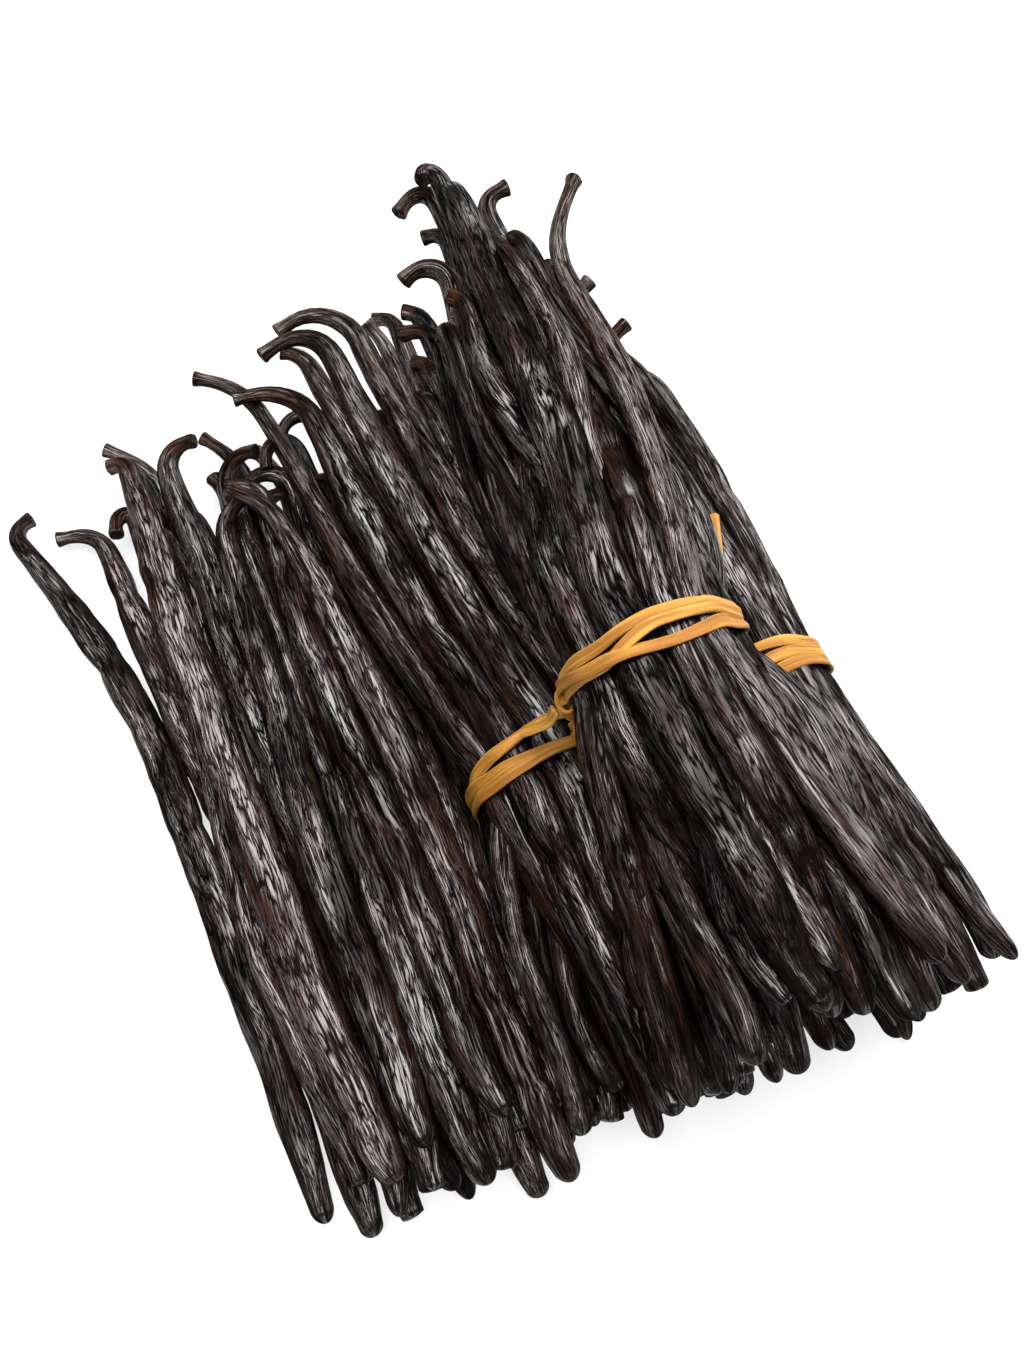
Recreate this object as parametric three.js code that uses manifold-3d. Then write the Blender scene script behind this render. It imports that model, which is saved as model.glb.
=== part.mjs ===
// A heap of cured vanilla pods: three bunches tied round the waist with raffia, one lying in the
// groove between the other two, and a loose fan of pods beside them.
// Millimetres, +Z up.  The pods lie along Y: blunt feet at -Y, thin curled stem ends at +Y.
// The origin is on the surface the heap rests on, below the middle of the heap.

import * as THREE from "three";
import { mergeVertices } from "three/addons/utils/BufferGeometryUtils.js";
import Module from "manifold-3d";

const wasm = await Module();
wasm.setup();

// ---------------------------------------------------------------- driving dimensions

const SHIFT = { x: -14.2, y: -6.4 };    // from the layout's own zero to the middle of the heap
const REST_CUT = 0.35;                  // how deep the floor flattens the lowest pods
const GAP = 0.3;                        // clearance between neighbouring sub-parts
const FUSE = { bunch: 0.97, fan: 1.05 };    // pods are drawn this full, so that neighbours join
const LOOK = {
  pods: { color: 0x24130e, roughness: 0.45 },
  raffia: { color: 0xc9862b, roughness: 0.7 },
};

// Steps are shares of the body from foot to neck; curlStep is the turn of a curl from ring to ring.
const POD = {
  flatness: 0.68, flatnessSpread: 0.12, roll: 0.35, wave: 1.2, waveTurn: 5, waveShare: 0.6,
  sides: 5, steps: [0, 0.08, 0.42, 0.8, 1],
  neck: 1.3, button: 1.8, buttonLength: 1.5, curlFlatness: 0.9, curlStep: 96, curlMost: 3, aim: 8,
};
// Fullness of a body as a share of its half-width, at shares of the way from foot to neck.
const FULLNESS = [[0, 0.55], [0.08, 0.88], [0.34, 1], [0.8, 0.88], [1, 0.58]];
// A pod within this share of its ring shows only its foot and its stem end.  Each end runs a short way
// into the core, or to the waist where the pod comes to the outside of its bunch.
const INNER = { reach: 0.64, footTo: 0.26, neckFrom: 0.82, waist: 0.42, sides: 4, curlRings: 1 };
const RANGE = {
  halfWidth: [3.8, 4.6], footY: [-5, 5], neckY: [-18, 0], swing: [-0.3, 0.3],
  turn: [25, 110], radius: [3.5, 8],
};
const SUNFLOWER = { angle: 2.399963, reach: 0.86, spare: 12 };

const STATION = { first: -104, step: 8, count: 25 };   // where pods are kept clear of each other
const SETTLE = {
  rounds: 160, push: 0.9, smooth: 0.6, pull: 0.03, weight: 0.05, maxStep: 0.8, ownGive: 0.3,
  near: 12, waist: 45, edge: 4.5,
};

const TIE = { halfWidth: 1.35, halfThick: 0.6, outer: 0.6, sag: 0.35, steps: 14, endSteps: 4 };
const CORE = {
  fill: 1.5, flatFill: 1.2, sides: 8, stations: 6, fromFeet: 12, toNecks: 26, thin: 2.2, taper: 0.75,
};
const WAIST = { inset: 4, halfLength: 4, sides: 6 };   // what joins the pods of a bunch inside its ring
const FLOOR = { size: 400, depth: 20 };

// Each bunch: middle of its ring of raffia, half-sizes of the ring, and how the bunch runs from there
// to its feet and its stem ends (x, z of its axis; spread is the growth of the ring's half-sizes).
// Heading is the range of ways the stem ends of its filling pods curl.
const BUNCHES = {
  front: {
    tie: { x: 14.9, y: -29.8, z: 55.3, tilt: -2.2 }, ring: { x: 17.8, z: 18.2 },
    feet: { x: 16.5, y: -94, z: 46, spreadX: 1.22, spreadZ: 1.0 },
    stems: { x: 17.5, y: 57, z: 58, spreadX: 0.84, spreadZ: 0.72 },
    seed: 11, fill: 13, heading: [200, 290],
  },
  middle: {
    tie: { x: -1.3, y: -28, z: 19.4, tilt: 0 }, ring: { x: 19.6, z: 19.5 },
    feet: { x: -5, y: -92, z: 16, spreadX: 1.12, spreadZ: 0.86 },
    stems: { x: -8, y: 66, z: 17, spreadX: 1.1, spreadZ: 0.85 },
    seed: 23, fill: 14, heading: [120, 240],
  },
  right: {
    tie: { x: 38.2, y: -28, z: 19.4, tilt: 0 }, ring: { x: 18.9, z: 19.5 },
    feet: { x: 38.5, y: -91.5, z: 16, spreadX: 1.2, spreadZ: 0.86 },
    stems: { x: 36, y: 54, z: 17, spreadX: 0.86, spreadZ: 0.85 },
    seed: 37, fill: 15, heading: [120, 240],
  },
};

// Pods with a place of their own: foot (x, y, z), neck where the body ends (x, y, z), half-width,
// sideways bow, the curl of the stem end (degrees turned, radius, heading in degrees round Y with 0 at
// +X and 90 up, straight length after the curl), and in a bunch the place round its ring (degrees).
const OWN_PODS = {
  front: [
    [-7, -96, 34, 11, 60.2, 57, 4.5, 0, 140, 4, 182, 0.5, 166],
    [-5, -95, 30, 17.4, 82.6, 54, 3.9, 0, 120, 4.6, 200, 1.2, 190],
    [12, -100, 44, 17, 80.4, 63, 4.2, 0, 168, 1.9, 178, 1, 137],
    [17, -92, 55, 18.4, 74.2, 65.5, 5.2, 0, 150, 1.6, 262, 1, 110],
    [24, -96, 50, 21.4, 68, 62, 3.8, 0, 95, 4, 0, 2, 84],
    [31, -98, 46, 26, 52.3, 57, 3.9, 0, 40, 5, 10, 2, 40],
    [35, -92, 58, 27.6, 44, 65, 4.4, 0, 38, 26, 5, 9, 61],
    [42, -94, 45, 30.7, 46.4, 52, 4.1, 0, 70, 5, 20, 1, 12],
    [6, -94, 36, 15, 76, 52, 3.9, 0, 88, 3, 185, 1],
  ],
  middle: [
    [-11, -98, 10, -30.5, 67, 24, 4.0, 0, 55, 16, 178, 2, 160],
    [-21, -89, 1, -26, 63.3, 14, 4.1, 0, 165, 4, 170, 1, 188],
    [-7, -96, 27, -20, 60.8, 28, 4.6, -3, 95, 10, 185, 2, 131],
    [-15, -93, 14, -19.3, 69.9, 12, 4.1, 2, 160, 4.2, 178, 1, 214],
    [-2, -95, 31, -13.4, 70.5, 33, 4.7, 0, 100, 8, 180, 2, 103],
    [4, -92, 26, -6.5, 74, 31, 4.6, 0, 105, 9.5, 170, 2, 74],
    [4, -94, 12, 3.9, 80.5, 25, 3.9, 0, 85, 2.8, 180, 1, 240],
    [8, -93.5, 1, 9.2, 79, 26, 4.4, 0, 60, 4, 180, 0, 266],
    [6, -94, 20, -19, 71.5, 29, 4.3, 2, 70, 5, 178, 1.5],
    [2, -94, 18, 0.5, 72, 24, 4.2, 0, 35, 9, 150, 3],
  ],
  right: [
    [62, -92, 18, 49.7, 41, 26, 4.4, 0, 60, 8, 165, 1, 5],
    [58, -94, 26, 44.5, 43, 31, 4.3, 0, 40, 6, 160, 1, 33],
    [50.6, -95, 30, 41.5, 51, 30, 4.2, 0, 70, 4, 15, 2, 62],
    [54, -94.5, 1, 50, 28, 21, 4.5, 3, 62, 9, 165, 11, -24],
    [43, -96, 1, 39, 60, 8, 4.2, 0, 40, 12, 40, 2, -55],
  ],
  fan: [
    [-67.2, -86, 4, -90, 70, 5, 4.1, 9.6, 95, 3.6, 5, 1],
    [-65.2, -94.6, 4, -72, 60.5, 5, 4.4, 2, 88, 6, 178, 3],
    [-57.5, -84, 9, -63.6, 65.2, 6, 4.5, 0, 165, 3, 170, 1],
    [-56, -89.5, 12, -61, 73.5, 13, 5.1, 0, 75, 4, 200, 1],
    [-57, -96, 4, -56.6, 68, 8, 4.2, 0, 52, 18, 170, 0],
    [-51.5, -93, 12, -54, 68.5, 15, 4.9, 0, 125, 3.6, 20, 1],
    [-46, -94, 4, -38.5, 65.5, 7, 4.2, 0, 55, 14, 175, 1],
    [-41, -93, 9, -43, 62, 6, 4.2, 0, 30, 9, 180, 1],
    [-43, -94, 15, -43, 58, 17, 4.6, 0, 135, 5.2, 30, 1],
    [-36, -95, 11, -28, 56, 13, 4.3, 0, 165, 5.2, 170, 1],
    [-34.2, -100.5, 4, -31, 60, 6, 4.1, 0, 25, 20, 170, 1],
    [-36, -84, 20, -36, 50, 21, 4.4, 0, 80, 7, 170, 1],
    [-27.8, -98.5, 13, -38, 44, 23, 4.4, 3, 50, 10, 150, 1],
    [-50, -85, 18, -46, 46, 20, 4.4, 0, 60, 8, 20, 1],
    [-23.6, -93.5, 9, -21.6, 54, 9, 5.1, 0, 40, 12, 180, 1],
  ],
};
const FAN_FILL = {
  seed: 5, firstX: -58, lastX: -26, pitch: 7.6, footY: -88, neckY: 56, height: 10,
  range: {
    footX: [-1, 1], footY: [-5, 3], neckX: [-3, 2], neckY: [-10, 8],
    halfWidth: [3.9, 4.5], turn: [30, 110], radius: [3.5, 8], heading: [150, 200],
  },
};

// Offsets of a tie's strands along Y at every 45 degrees round the ring, from +X over the top.
const STRANDS = {
  front: [
    [5, 4.6, 3.1, 0.9, 1.4, 0.5, 0.3, 2.4],
    [4.2, 3.1, 1.4, -2.4, -1, -0.3, -0.3, 1.9],
    [3.1, 0.7, -2.5, -2, 0.3, -0.8, -0.9, 1.1],
  ],
  middle: [
    [1.0, 2.5, 3.5, 2.1, 0.2, 0, 0, 0.3],
    [-1.0, -2.6, -2.4, -1.0, 0, -0.3, -0.4, 0],
    [-1.4, -2.8, -2.7, -2.9, -2.2, -1.0, -0.9, -1.0],
  ],
  right: [
    [0.8, 1.9, 3.0, 1.5, 0.6, 0.3, 0.3, 0.4],
    [0, -0.2, -0.2, 0.3, 0.2, -0.2, -0.3, 0],
    [-0.9, -2.1, -3.1, -1.4, -0.8, -0.9, -1.0, -0.9],
  ],
};
// Knots: place round the ring (degrees), middle along Y from the tie, half-sizes round, along Y, out.
const KNOTS = {
  front: { place: 190, y: -1.2, size: [3.6, 3.0, 1.7], detail: 1 },
  middle: { place: 78, y: 0, size: [3.0, 3.6, 1.1], detail: 0 },
  right: { place: 118, y: 0, size: [3.0, 3.2, 1.2], detail: 0 },
};
// Loose ends: of the front bunch's knot, and of the right bunch's raffia, which lies between the two.
const LOOSE_ENDS = {
  front: [[-3.2, -28.6, 51], [-4.6, -29, 47], [-6.4, -27.8, 43.4], [-8.6, -26.4, 40.7]],
  right: [[34, -22, 38.9], [37.2, -12, 39], [40.9, -3.8, 38.5], [43.3, 3.3, 38.1]],
};

// ---------------------------------------------------------------- small helpers

const radians = (degrees) => (degrees * Math.PI) / 180;
const mix = (a, b, t) => a + (b - a) * t;
const clamp = (v, low, high) => Math.min(high, Math.max(low, v));
const smooth = (t) => t * t * (3 - 2 * t);

// A repeatable stream of numbers between 0 and 1.
function stream(seed) {
  let state = seed * 7919 + 17;
  return () => {
    state = (state * 16807) % 2147483647;
    return state / 2147483647;
  };
}

function fullness(t) {
  const after = FULLNESS.findIndex(([share]) => share > t);
  if (after < 0) return FULLNESS[FULLNESS.length - 1][1];
  const [[from, low], [to, high]] = FULLNESS.slice(after - 1, after + 1);
  return mix(low, high, smooth((t - from) / (to - from)));
}

// ---------------------------------------------------------------- the pods, as rows of sizes

function makePod(group, row, random) {
  const [fx, fy, fz, nx, ny, nz, halfWidth, bow, turn, radius, heading, straight, place] = row;
  return {
    group, halfWidth, bow, place: place === undefined ? undefined : radians(place),
    foot: { x: fx, y: fy, z: fz }, neck: { x: nx, y: ny, z: nz },
    curl: { turn: radians(turn), radius, heading: radians(heading), straight },
    flatness: POD.flatness * mix(1 - POD.flatnessSpread, 1 + POD.flatnessSpread, random()),
    roll: mix(-POD.roll, POD.roll, random()),
    wave: mix(-POD.wave, POD.wave, random()),
    phase: random() * 2 * Math.PI,
    give: 1,
    squeeze: { x: 0, z: 0 },
  };
}

// Middle and half-sizes of a bunch where it crosses the plane y.
function bunchAt(bunch, y) {
  const end = y < bunch.tie.y ? bunch.feet : bunch.stems;
  const t = clamp((y - bunch.tie.y) / (end.y - bunch.tie.y), 0, 1.3);
  const ease = t * (2 - t) * 0.4 + t * 0.6;
  return {
    x: mix(bunch.tie.x, end.x, t), z: mix(bunch.tie.z, end.z, t),
    halfX: bunch.ring.x * mix(1, end.spreadX, ease), halfZ: bunch.ring.z * mix(1, end.spreadZ, ease),
  };
}

// A bunch's own pods and those that fill what they leave free: places on a sunflower spiral in the ring.
function fillBunch(name, bunch, own) {
  const random = stream(bunch.seed);
  const within = ([low, high]) => mix(low, high, random());
  const pods = own.map((row) => ({ ...makePod(name, row, random), give: SETTLE.ownGive }));
  const places = [];
  const spots = bunch.fill + SUNFLOWER.spare;
  for (let i = 0; i < spots; i += 1) {
    const reach = Math.sqrt((i + 0.5) / spots) * SUNFLOWER.reach;
    places.push({ reach, angle: i * SUNFLOWER.angle });
  }
  const taken = pods.map((pod) => {
    const t = (bunch.tie.y - pod.foot.y) / (pod.neck.y - pod.foot.y);
    return { x: mix(pod.foot.x, pod.neck.x, t), z: mix(pod.foot.z, pod.neck.z, t) };
  });
  const free = ({ reach, angle }) => Math.min(...taken.map((spot) => Math.hypot(
    spot.x - bunch.tie.x - reach * Math.cos(angle) * bunch.ring.x,
    spot.z - bunch.tie.z - reach * Math.sin(angle) * bunch.ring.z)));
  places.sort((a, b) => free(b) - free(a));
  for (const { reach, angle } of places.slice(0, bunch.fill)) {
    const at = (y, swing) => {
      const middle = bunchAt(bunch, y);
      return {
        x: middle.x + reach * Math.cos(angle + swing) * middle.halfX, y,
        z: middle.z + reach * Math.sin(angle + swing) * middle.halfZ,
      };
    };
    const foot = at(bunch.feet.y + within(RANGE.footY), within(RANGE.swing));
    const neck = at(bunch.stems.y + within(RANGE.neckY), within(RANGE.swing));
    pods.push(makePod(name, [
      foot.x, foot.y, foot.z, neck.x, neck.y, neck.z, within(RANGE.halfWidth), 0,
      within(RANGE.turn), within(RANGE.radius), within(bunch.heading), 1,
    ], random));
  }
  return pods;
}

function fillFan(own) {
  const random = stream(FAN_FILL.seed);
  const within = ([low, high]) => mix(low, high, random());
  const { range } = FAN_FILL;
  const pods = own.map((row) => ({ ...makePod("fan", row, random), give: SETTLE.ownGive }));
  for (let x = FAN_FILL.firstX; x <= FAN_FILL.lastX; x += FAN_FILL.pitch) {
    pods.push(makePod("fan", [
      x + within(range.footX), FAN_FILL.footY + within(range.footY), FAN_FILL.height,
      x + within(range.neckX), FAN_FILL.neckY + within(range.neckY), FAN_FILL.height,
      within(range.halfWidth), 0, within(range.turn), within(range.radius), within(range.heading), 1,
    ], random));
  }
  return pods;
}

// ---------------------------------------------------------------- settling the pods

const stationY = (k) => STATION.first + STATION.step * k;

// Where a pod would lie if nothing were in its way.
function restAt(pod, y) {
  const t = (y - pod.foot.y) / (pod.neck.y - pod.foot.y);
  const arch = Math.sin(Math.PI * clamp(t, 0, 1));
  const held = BUNCHES[pod.group] ? BUNCHES[pod.group].tie.y : 0;
  const squeezed = Math.exp(-(((y - held) / SETTLE.waist) ** 2));
  const wave = pod.wave * POD.waveShare * Math.sin(POD.waveTurn * t + pod.phase);
  return {
    x: mix(pod.foot.x, pod.neck.x, t) + pod.bow * arch + wave + pod.squeeze.x * squeezed,
    z: mix(pod.foot.z, pod.neck.z, t) + pod.squeeze.z * squeezed,
  };
}

function bodyHalfWidth(pod, y) {
  const t = clamp((y - pod.foot.y) / (pod.neck.y - pod.foot.y), 0, 1);
  return pod.halfWidth * fullness(t);
}

// How far a pod's flattened section reaches in a direction (radians round Y).
function reachTowards(pod, halfWidth, angle) {
  const across = halfWidth * Math.cos(angle - pod.roll);
  const through = halfWidth * pod.flatness * Math.sin(angle - pod.roll);
  return Math.hypot(across, through);
}

// In a bunch the pods are drawn in to pass through the ring, flat sides of the outer ones outwards.
function drawIn(pods) {
  for (const pod of pods) {
    const bunch = BUNCHES[pod.group];
    if (!bunch) continue;
    const middle = restAt(pod, bunch.tie.y);
    const dx = middle.x - bunch.tie.x;
    const dz = middle.z - bunch.tie.z;
    const angle = pod.place ?? Math.atan2(dz, dx);
    const edge = {
      x: (bunch.ring.x - SETTLE.edge) * Math.cos(angle),
      z: (bunch.ring.z - SETTLE.edge) * Math.sin(angle),
    };
    const outside = Math.hypot(dx, dz) > Math.hypot(edge.x, edge.z);
    if (pod.place !== undefined || outside) pod.squeeze = { x: edge.x - dx, z: edge.z - dz };
    pod.roll += angle + Math.PI / 2;
  }
}

// Pushes the pods apart at each station, holds them inside the rings and above the floor, and
// shares every shift along the pod, until they lie on and beside each other.
function settle(pods) {
  const stations = Array.from({ length: STATION.count }, (_, k) => stationY(k));
  const rest = pods.map((pod) => stations.map((y) => restAt(pod, y)));
  const path = rest.map((points) => points.map((point) => ({ ...point })));
  const widths = pods.map((pod) => stations.map((y) => bodyHalfWidth(pod, y)));
  const present = pods.map((pod) => stations.map((y) =>
    y > pod.foot.y - STATION.step / 2 && y < pod.neck.y + STATION.step / 2));
  const shift = rest.map((points) => points.map(() => ({ x: 0, z: 0 })));

  for (let round = 0; round < SETTLE.rounds; round += 1) {
    for (let k = 0; k < stations.length; k += 1) pushApart(pods, path, widths, present, shift, k);
    for (let i = 0; i < pods.length; i += 1) {
      const loose = pods[i].group === "fan" ? SETTLE.weight : 0;
      for (let k = 0; k < stations.length; k += 1) {
        const point = path[i][k];
        const step = Math.hypot(shift[i][k].x, shift[i][k].z);
        const share = step > SETTLE.maxStep ? SETTLE.maxStep / step : 1;
        point.x += shift[i][k].x * share + (rest[i][k].x - point.x) * SETTLE.pull;
        point.z += shift[i][k].z * share + (rest[i][k].z - point.z) * SETTLE.pull - loose;
        shift[i][k].x = 0;
        shift[i][k].z = 0;
      }
      shareAlong(rest[i], path[i]);
      for (let k = 0; k < stations.length; k += 1) {
        holdOffRings(pods[i], path[i][k], widths[i][k], stations[k]);
        holdInRing(pods[i], path[i][k], widths[i][k], stations[k]);
        const lowest = reachTowards(pods[i], widths[i][k], Math.PI / 2);
        path[i][k].z = Math.max(path[i][k].z, lowest);
      }
    }
  }
  pods.forEach((pod, i) => { pod.path = path[i]; });
}

function pushApart(pods, path, widths, present, shift, k) {
  for (let i = 0; i < pods.length; i += 1) {
    if (!present[i][k]) continue;
    for (let j = i + 1; j < pods.length; j += 1) {
      if (!present[j][k]) continue;
      const dx = path[j][k].x - path[i][k].x;
      const dz = path[j][k].z - path[i][k].z;
      const distance = Math.hypot(dx, dz) + 1e-6;
      if (distance > SETTLE.near) continue;
      const angle = Math.atan2(dz, dx);
      const gap = pods[i].group === pods[j].group ? 0 : 2 * GAP;
      const needed = reachTowards(pods[i], widths[i][k], angle)
        + reachTowards(pods[j], widths[j][k], angle) + gap;
      if (distance >= needed) continue;
      const move = ((needed - distance) * SETTLE.push) / distance / (pods[i].give + pods[j].give);
      shift[i][k].x -= dx * move * pods[i].give;
      shift[i][k].z -= dz * move * pods[i].give;
      shift[j][k].x += dx * move * pods[j].give;
      shift[j][k].z += dz * move * pods[j].give;
    }
  }
}

// A pod bends over a long stretch, so each shift is shared with the stations beside it.
function shareAlong(rest, path) {
  for (const axis of ["x", "z"]) {
    const moved = path.map((point, k) => point[axis] - rest[k][axis]);
    for (let k = 0; k < path.length; k += 1) {
      const before = moved[Math.max(0, k - 1)];
      const after = moved[Math.min(path.length - 1, k + 1)];
      const shared = mix(moved[k], (before + after) / 2, SETTLE.smooth);
      path[k][axis] = rest[k][axis] + shared;
    }
  }
}

// The pods of one group lie outside the raffia of the others.
function holdOffRings(pod, point, halfWidth, y) {
  for (const [name, { tie, ring }] of Object.entries(BUNCHES)) {
    if (name === pod.group || Math.abs(y - tie.y) > STATION.step) continue;
    const dx = point.x - tie.x;
    const dz = point.z - tie.z;
    const thick = reachTowards(pod, halfWidth, Math.atan2(dz, dx)) + 2 * GAP;
    const out = Math.hypot(dx / (ring.x + thick), dz / (ring.z + thick));
    if (out >= 1) continue;
    point.x = tie.x + dx / out;
    point.z = tie.z + dz / out;
  }
}

function holdInRing(pod, point, halfWidth, y) {
  const bunch = BUNCHES[pod.group];
  if (!bunch || Math.abs(y - bunch.tie.y) > STATION.step) return;
  const dx = point.x - bunch.tie.x;
  const dz = point.z - bunch.tie.z;
  const thick = reachTowards(pod, halfWidth, Math.atan2(dz, dx)) + 2 * TIE.halfThick + GAP / 2;
  const out = Math.hypot(dx / (bunch.ring.x - thick), dz / (bunch.ring.z - thick));
  if (out <= 1) return;
  point.x = bunch.tie.x + dx / out;
  point.z = bunch.tie.z + dz / out;
}

// ---------------------------------------------------------------- a pod as a closed mesh

// A point on a pod's settled path, smooth between the stations.
function pathAt(pod, y) {
  const s = clamp((y - STATION.first) / STATION.step, 1, STATION.count - 3);
  const k = Math.floor(s);
  const t = s - k;
  const blend = (axis) => {
    const [a, b, c, d] = [-1, 0, 1, 2].map((step) => pod.path[k + step][axis]);
    return b + 0.5 * t * (c - a + t * (2 * a - 5 * b + 4 * c - d + t * (3 * (b - c) + d - a)));
  };
  return new THREE.Vector3(blend("x"), y, blend("z"));
}

// Points and half-widths along a pod, from its foot through the body to the curled stem end.
function podCourse(pod, steps, curlRings) {
  const course = [];
  const add = (point, halfWidth, flatness) => course.push({ point, halfWidth, flatness });
  for (const t of steps) {
    const y = mix(pod.foot.y, pod.neck.y, t);
    add(pathAt(pod, y), pod.halfWidth * fullness(t), pod.flatness);
  }
  if (curlRings === 0) return course;
  const neck = pathAt(pod, pod.neck.y);
  const ahead = neck.clone().sub(pathAt(pod, pod.neck.y - POD.aim)).normalize();
  const aside = new THREE.Vector3(Math.cos(pod.curl.heading), 0, Math.sin(pod.curl.heading));
  aside.addScaledVector(ahead, -aside.dot(ahead)).normalize();
  for (let i = 1; i <= curlRings; i += 1) {
    const angle = (pod.curl.turn * i) / curlRings;
    const point = neck.clone()
      .addScaledVector(ahead, pod.curl.radius * Math.sin(angle))
      .addScaledVector(aside, pod.curl.radius * (1 - Math.cos(angle)));
    add(point, mix(pod.halfWidth * fullness(1), POD.neck, i / curlRings), POD.curlFlatness);
  }
  const last = course[course.length - 1];
  const leaving = ahead.clone().multiplyScalar(Math.cos(pod.curl.turn))
    .addScaledVector(aside, Math.sin(pod.curl.turn));
  add(last.point.clone().addScaledVector(leaving, pod.curl.straight + POD.buttonLength), POD.button, 1);
  for (const { point } of course) point.z = Math.max(point.z, POD.button);
  return course;
}

// A closed skin of rings of points, fanned shut at both ends.
function skin(rings) {
  const sides = rings[0].length;
  const positions = rings.flat().flatMap((p) => [p.x, p.y, p.z]);
  const index = [];
  for (let r = 0; r + 1 < rings.length; r += 1) {
    for (let s = 0; s < sides; s += 1) {
      const a = r * sides + s;
      const b = r * sides + ((s + 1) % sides);
      index.push(a, b, a + sides, b, b + sides, a + sides);
    }
  }
  const top = (rings.length - 1) * sides;
  for (let s = 1; s + 1 < sides; s += 1) {
    index.push(0, s + 1, s, top, top + s, top + s + 1);
  }
  const geometry = new THREE.BufferGeometry();
  geometry.setAttribute("position", new THREE.Float32BufferAttribute(positions, 3));
  geometry.setIndex(index);
  return geometry;
}

function podGeometry(pod, steps, curlRings, sides, extra) {
  const course = podCourse(pod, steps, curlRings);
  const fuse = BUNCHES[pod.group] ? FUSE.bunch : FUSE.fan;
  const flatWay = new THREE.Vector3(Math.cos(pod.roll), 0, Math.sin(pod.roll));
  const rings = course.map(({ point, halfWidth, flatness }, i) => {
    const along = course[Math.min(i + 1, course.length - 1)].point.clone()
      .sub(course[Math.max(i - 1, 0)].point).normalize();
    const wide = flatWay.clone().addScaledVector(along, -flatWay.dot(along)).normalize();
    flatWay.copy(wide);
    const thick = new THREE.Vector3().crossVectors(along, wide);
    return Array.from({ length: sides }, (_, s) => {
      const angle = (2 * Math.PI * s) / sides;
      return point.clone()
        .addScaledVector(wide, (halfWidth * fuse + extra) * Math.cos(angle))
        .addScaledVector(thick, (halfWidth * flatness * fuse + extra) * Math.sin(angle));
    });
  });
  return skin(rings);
}

// ---------------------------------------------------------------- solids

function solidOf(geometry) {
  const bare = geometry.clone();
  bare.deleteAttribute("normal");
  bare.deleteAttribute("uv");
  const merged = mergeVertices(bare, 1e-5);
  return new wasm.Manifold(new wasm.Mesh({
    numProp: 3,
    vertProperties: new Float32Array(merged.attributes.position.array),
    triVerts: new Uint32Array(merged.index.array),
  }));
}

function joined(solids) {
  let queue = solids;
  while (queue.length > 1) {
    const next = [];
    for (let i = 0; i < queue.length; i += 2) {
      next.push(i + 1 < queue.length ? queue[i].add(queue[i + 1]) : queue[i]);
    }
    queue = next;
  }
  return queue[0];
}

function geometryOf(solid) {
  const { vertProperties, triVerts } = solid.getMesh();
  const geometry = new THREE.BufferGeometry();
  geometry.setAttribute("position", new THREE.BufferAttribute(vertProperties, 3));
  geometry.setIndex(new THREE.BufferAttribute(triVerts, 1));
  return geometry;
}

function largestPiece(solid) {
  return solid.decompose().sort((a, b) => b.volume() - a.volume())[0];
}

// ---------------------------------------------------------------- cores

// Inside each group of pods: an oval body that spans the middle part of the group and joins the pods.
function coreGeometry(pods, extra) {
  const rings = [];
  const from = Math.max(...pods.map((pod) => pod.foot.y)) + CORE.fromFeet;
  const to = Math.max(...pods.map((pod) => pod.neck.y)) - CORE.toNecks;
  for (let i = 0; i < CORE.stations; i += 1) {
    const y = mix(from, to, i / (CORE.stations - 1));
    const points = pods.filter((pod) => pod.neck.y > y && pod.foot.y < y).map((pod) => pathAt(pod, y));
    const mean = (axis) => points.reduce((sum, p) => sum + p[axis], 0) / points.length;
    const spread = (axis, middle) =>
      Math.sqrt(points.reduce((sum, p) => sum + (p[axis] - middle) ** 2, 0) / points.length);
    const [x, z] = [mean("x"), mean("z")];
    const atEnd = i === 0 || i === CORE.stations - 1;
    const fill = (BUNCHES[pods[0].group] ? CORE.fill : CORE.flatFill) * (atEnd ? CORE.taper : 1);
    const halfX = spread("x", x) * fill + extra;
    const halfZ = Math.min(Math.max(CORE.thin, spread("z", z) * fill), z - 1) + extra;
    rings.push(ovalRing(x, y, z, halfX, halfZ, CORE.sides));
  }
  return skin(rings);
}

function ovalRing(x, y, z, halfX, halfZ, sides) {
  return Array.from({ length: sides }, (_, s) => {
    const angle = (-2 * Math.PI * s) / sides;
    return new THREE.Vector3(x + halfX * Math.cos(angle), y, z + halfZ * Math.sin(angle));
  });
}

function waistGeometry({ tie, ring }, extra) {
  const halves = [ring.x - WAIST.inset + extra, ring.z - WAIST.inset + extra];
  return skin([-1, 1].map((side) =>
    ovalRing(tie.x, tie.y + side * (WAIST.halfLength + extra), tie.z, ...halves, WAIST.sides)));
}

// ---------------------------------------------------------------- raffia

// A point on a strand: round the ring by angle, along Y by the strand's own offsets.
function strandPoint(bunch, offsets, angle, inset) {
  const s = (angle / (2 * Math.PI)) * offsets.length;
  const k = Math.floor(s);
  const value = (step) => offsets[(k + step + offsets.length) % offsets.length];
  const offset = mix(value(0), value(1), smooth(s - k));
  return new THREE.Vector3(
    bunch.tie.x + (bunch.ring.x - inset) * Math.cos(angle),
    bunch.tie.y + bunch.tie.tilt * Math.cos(angle) + offset,
    bunch.tie.z + (bunch.ring.z - inset) * Math.sin(angle));
}

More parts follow.
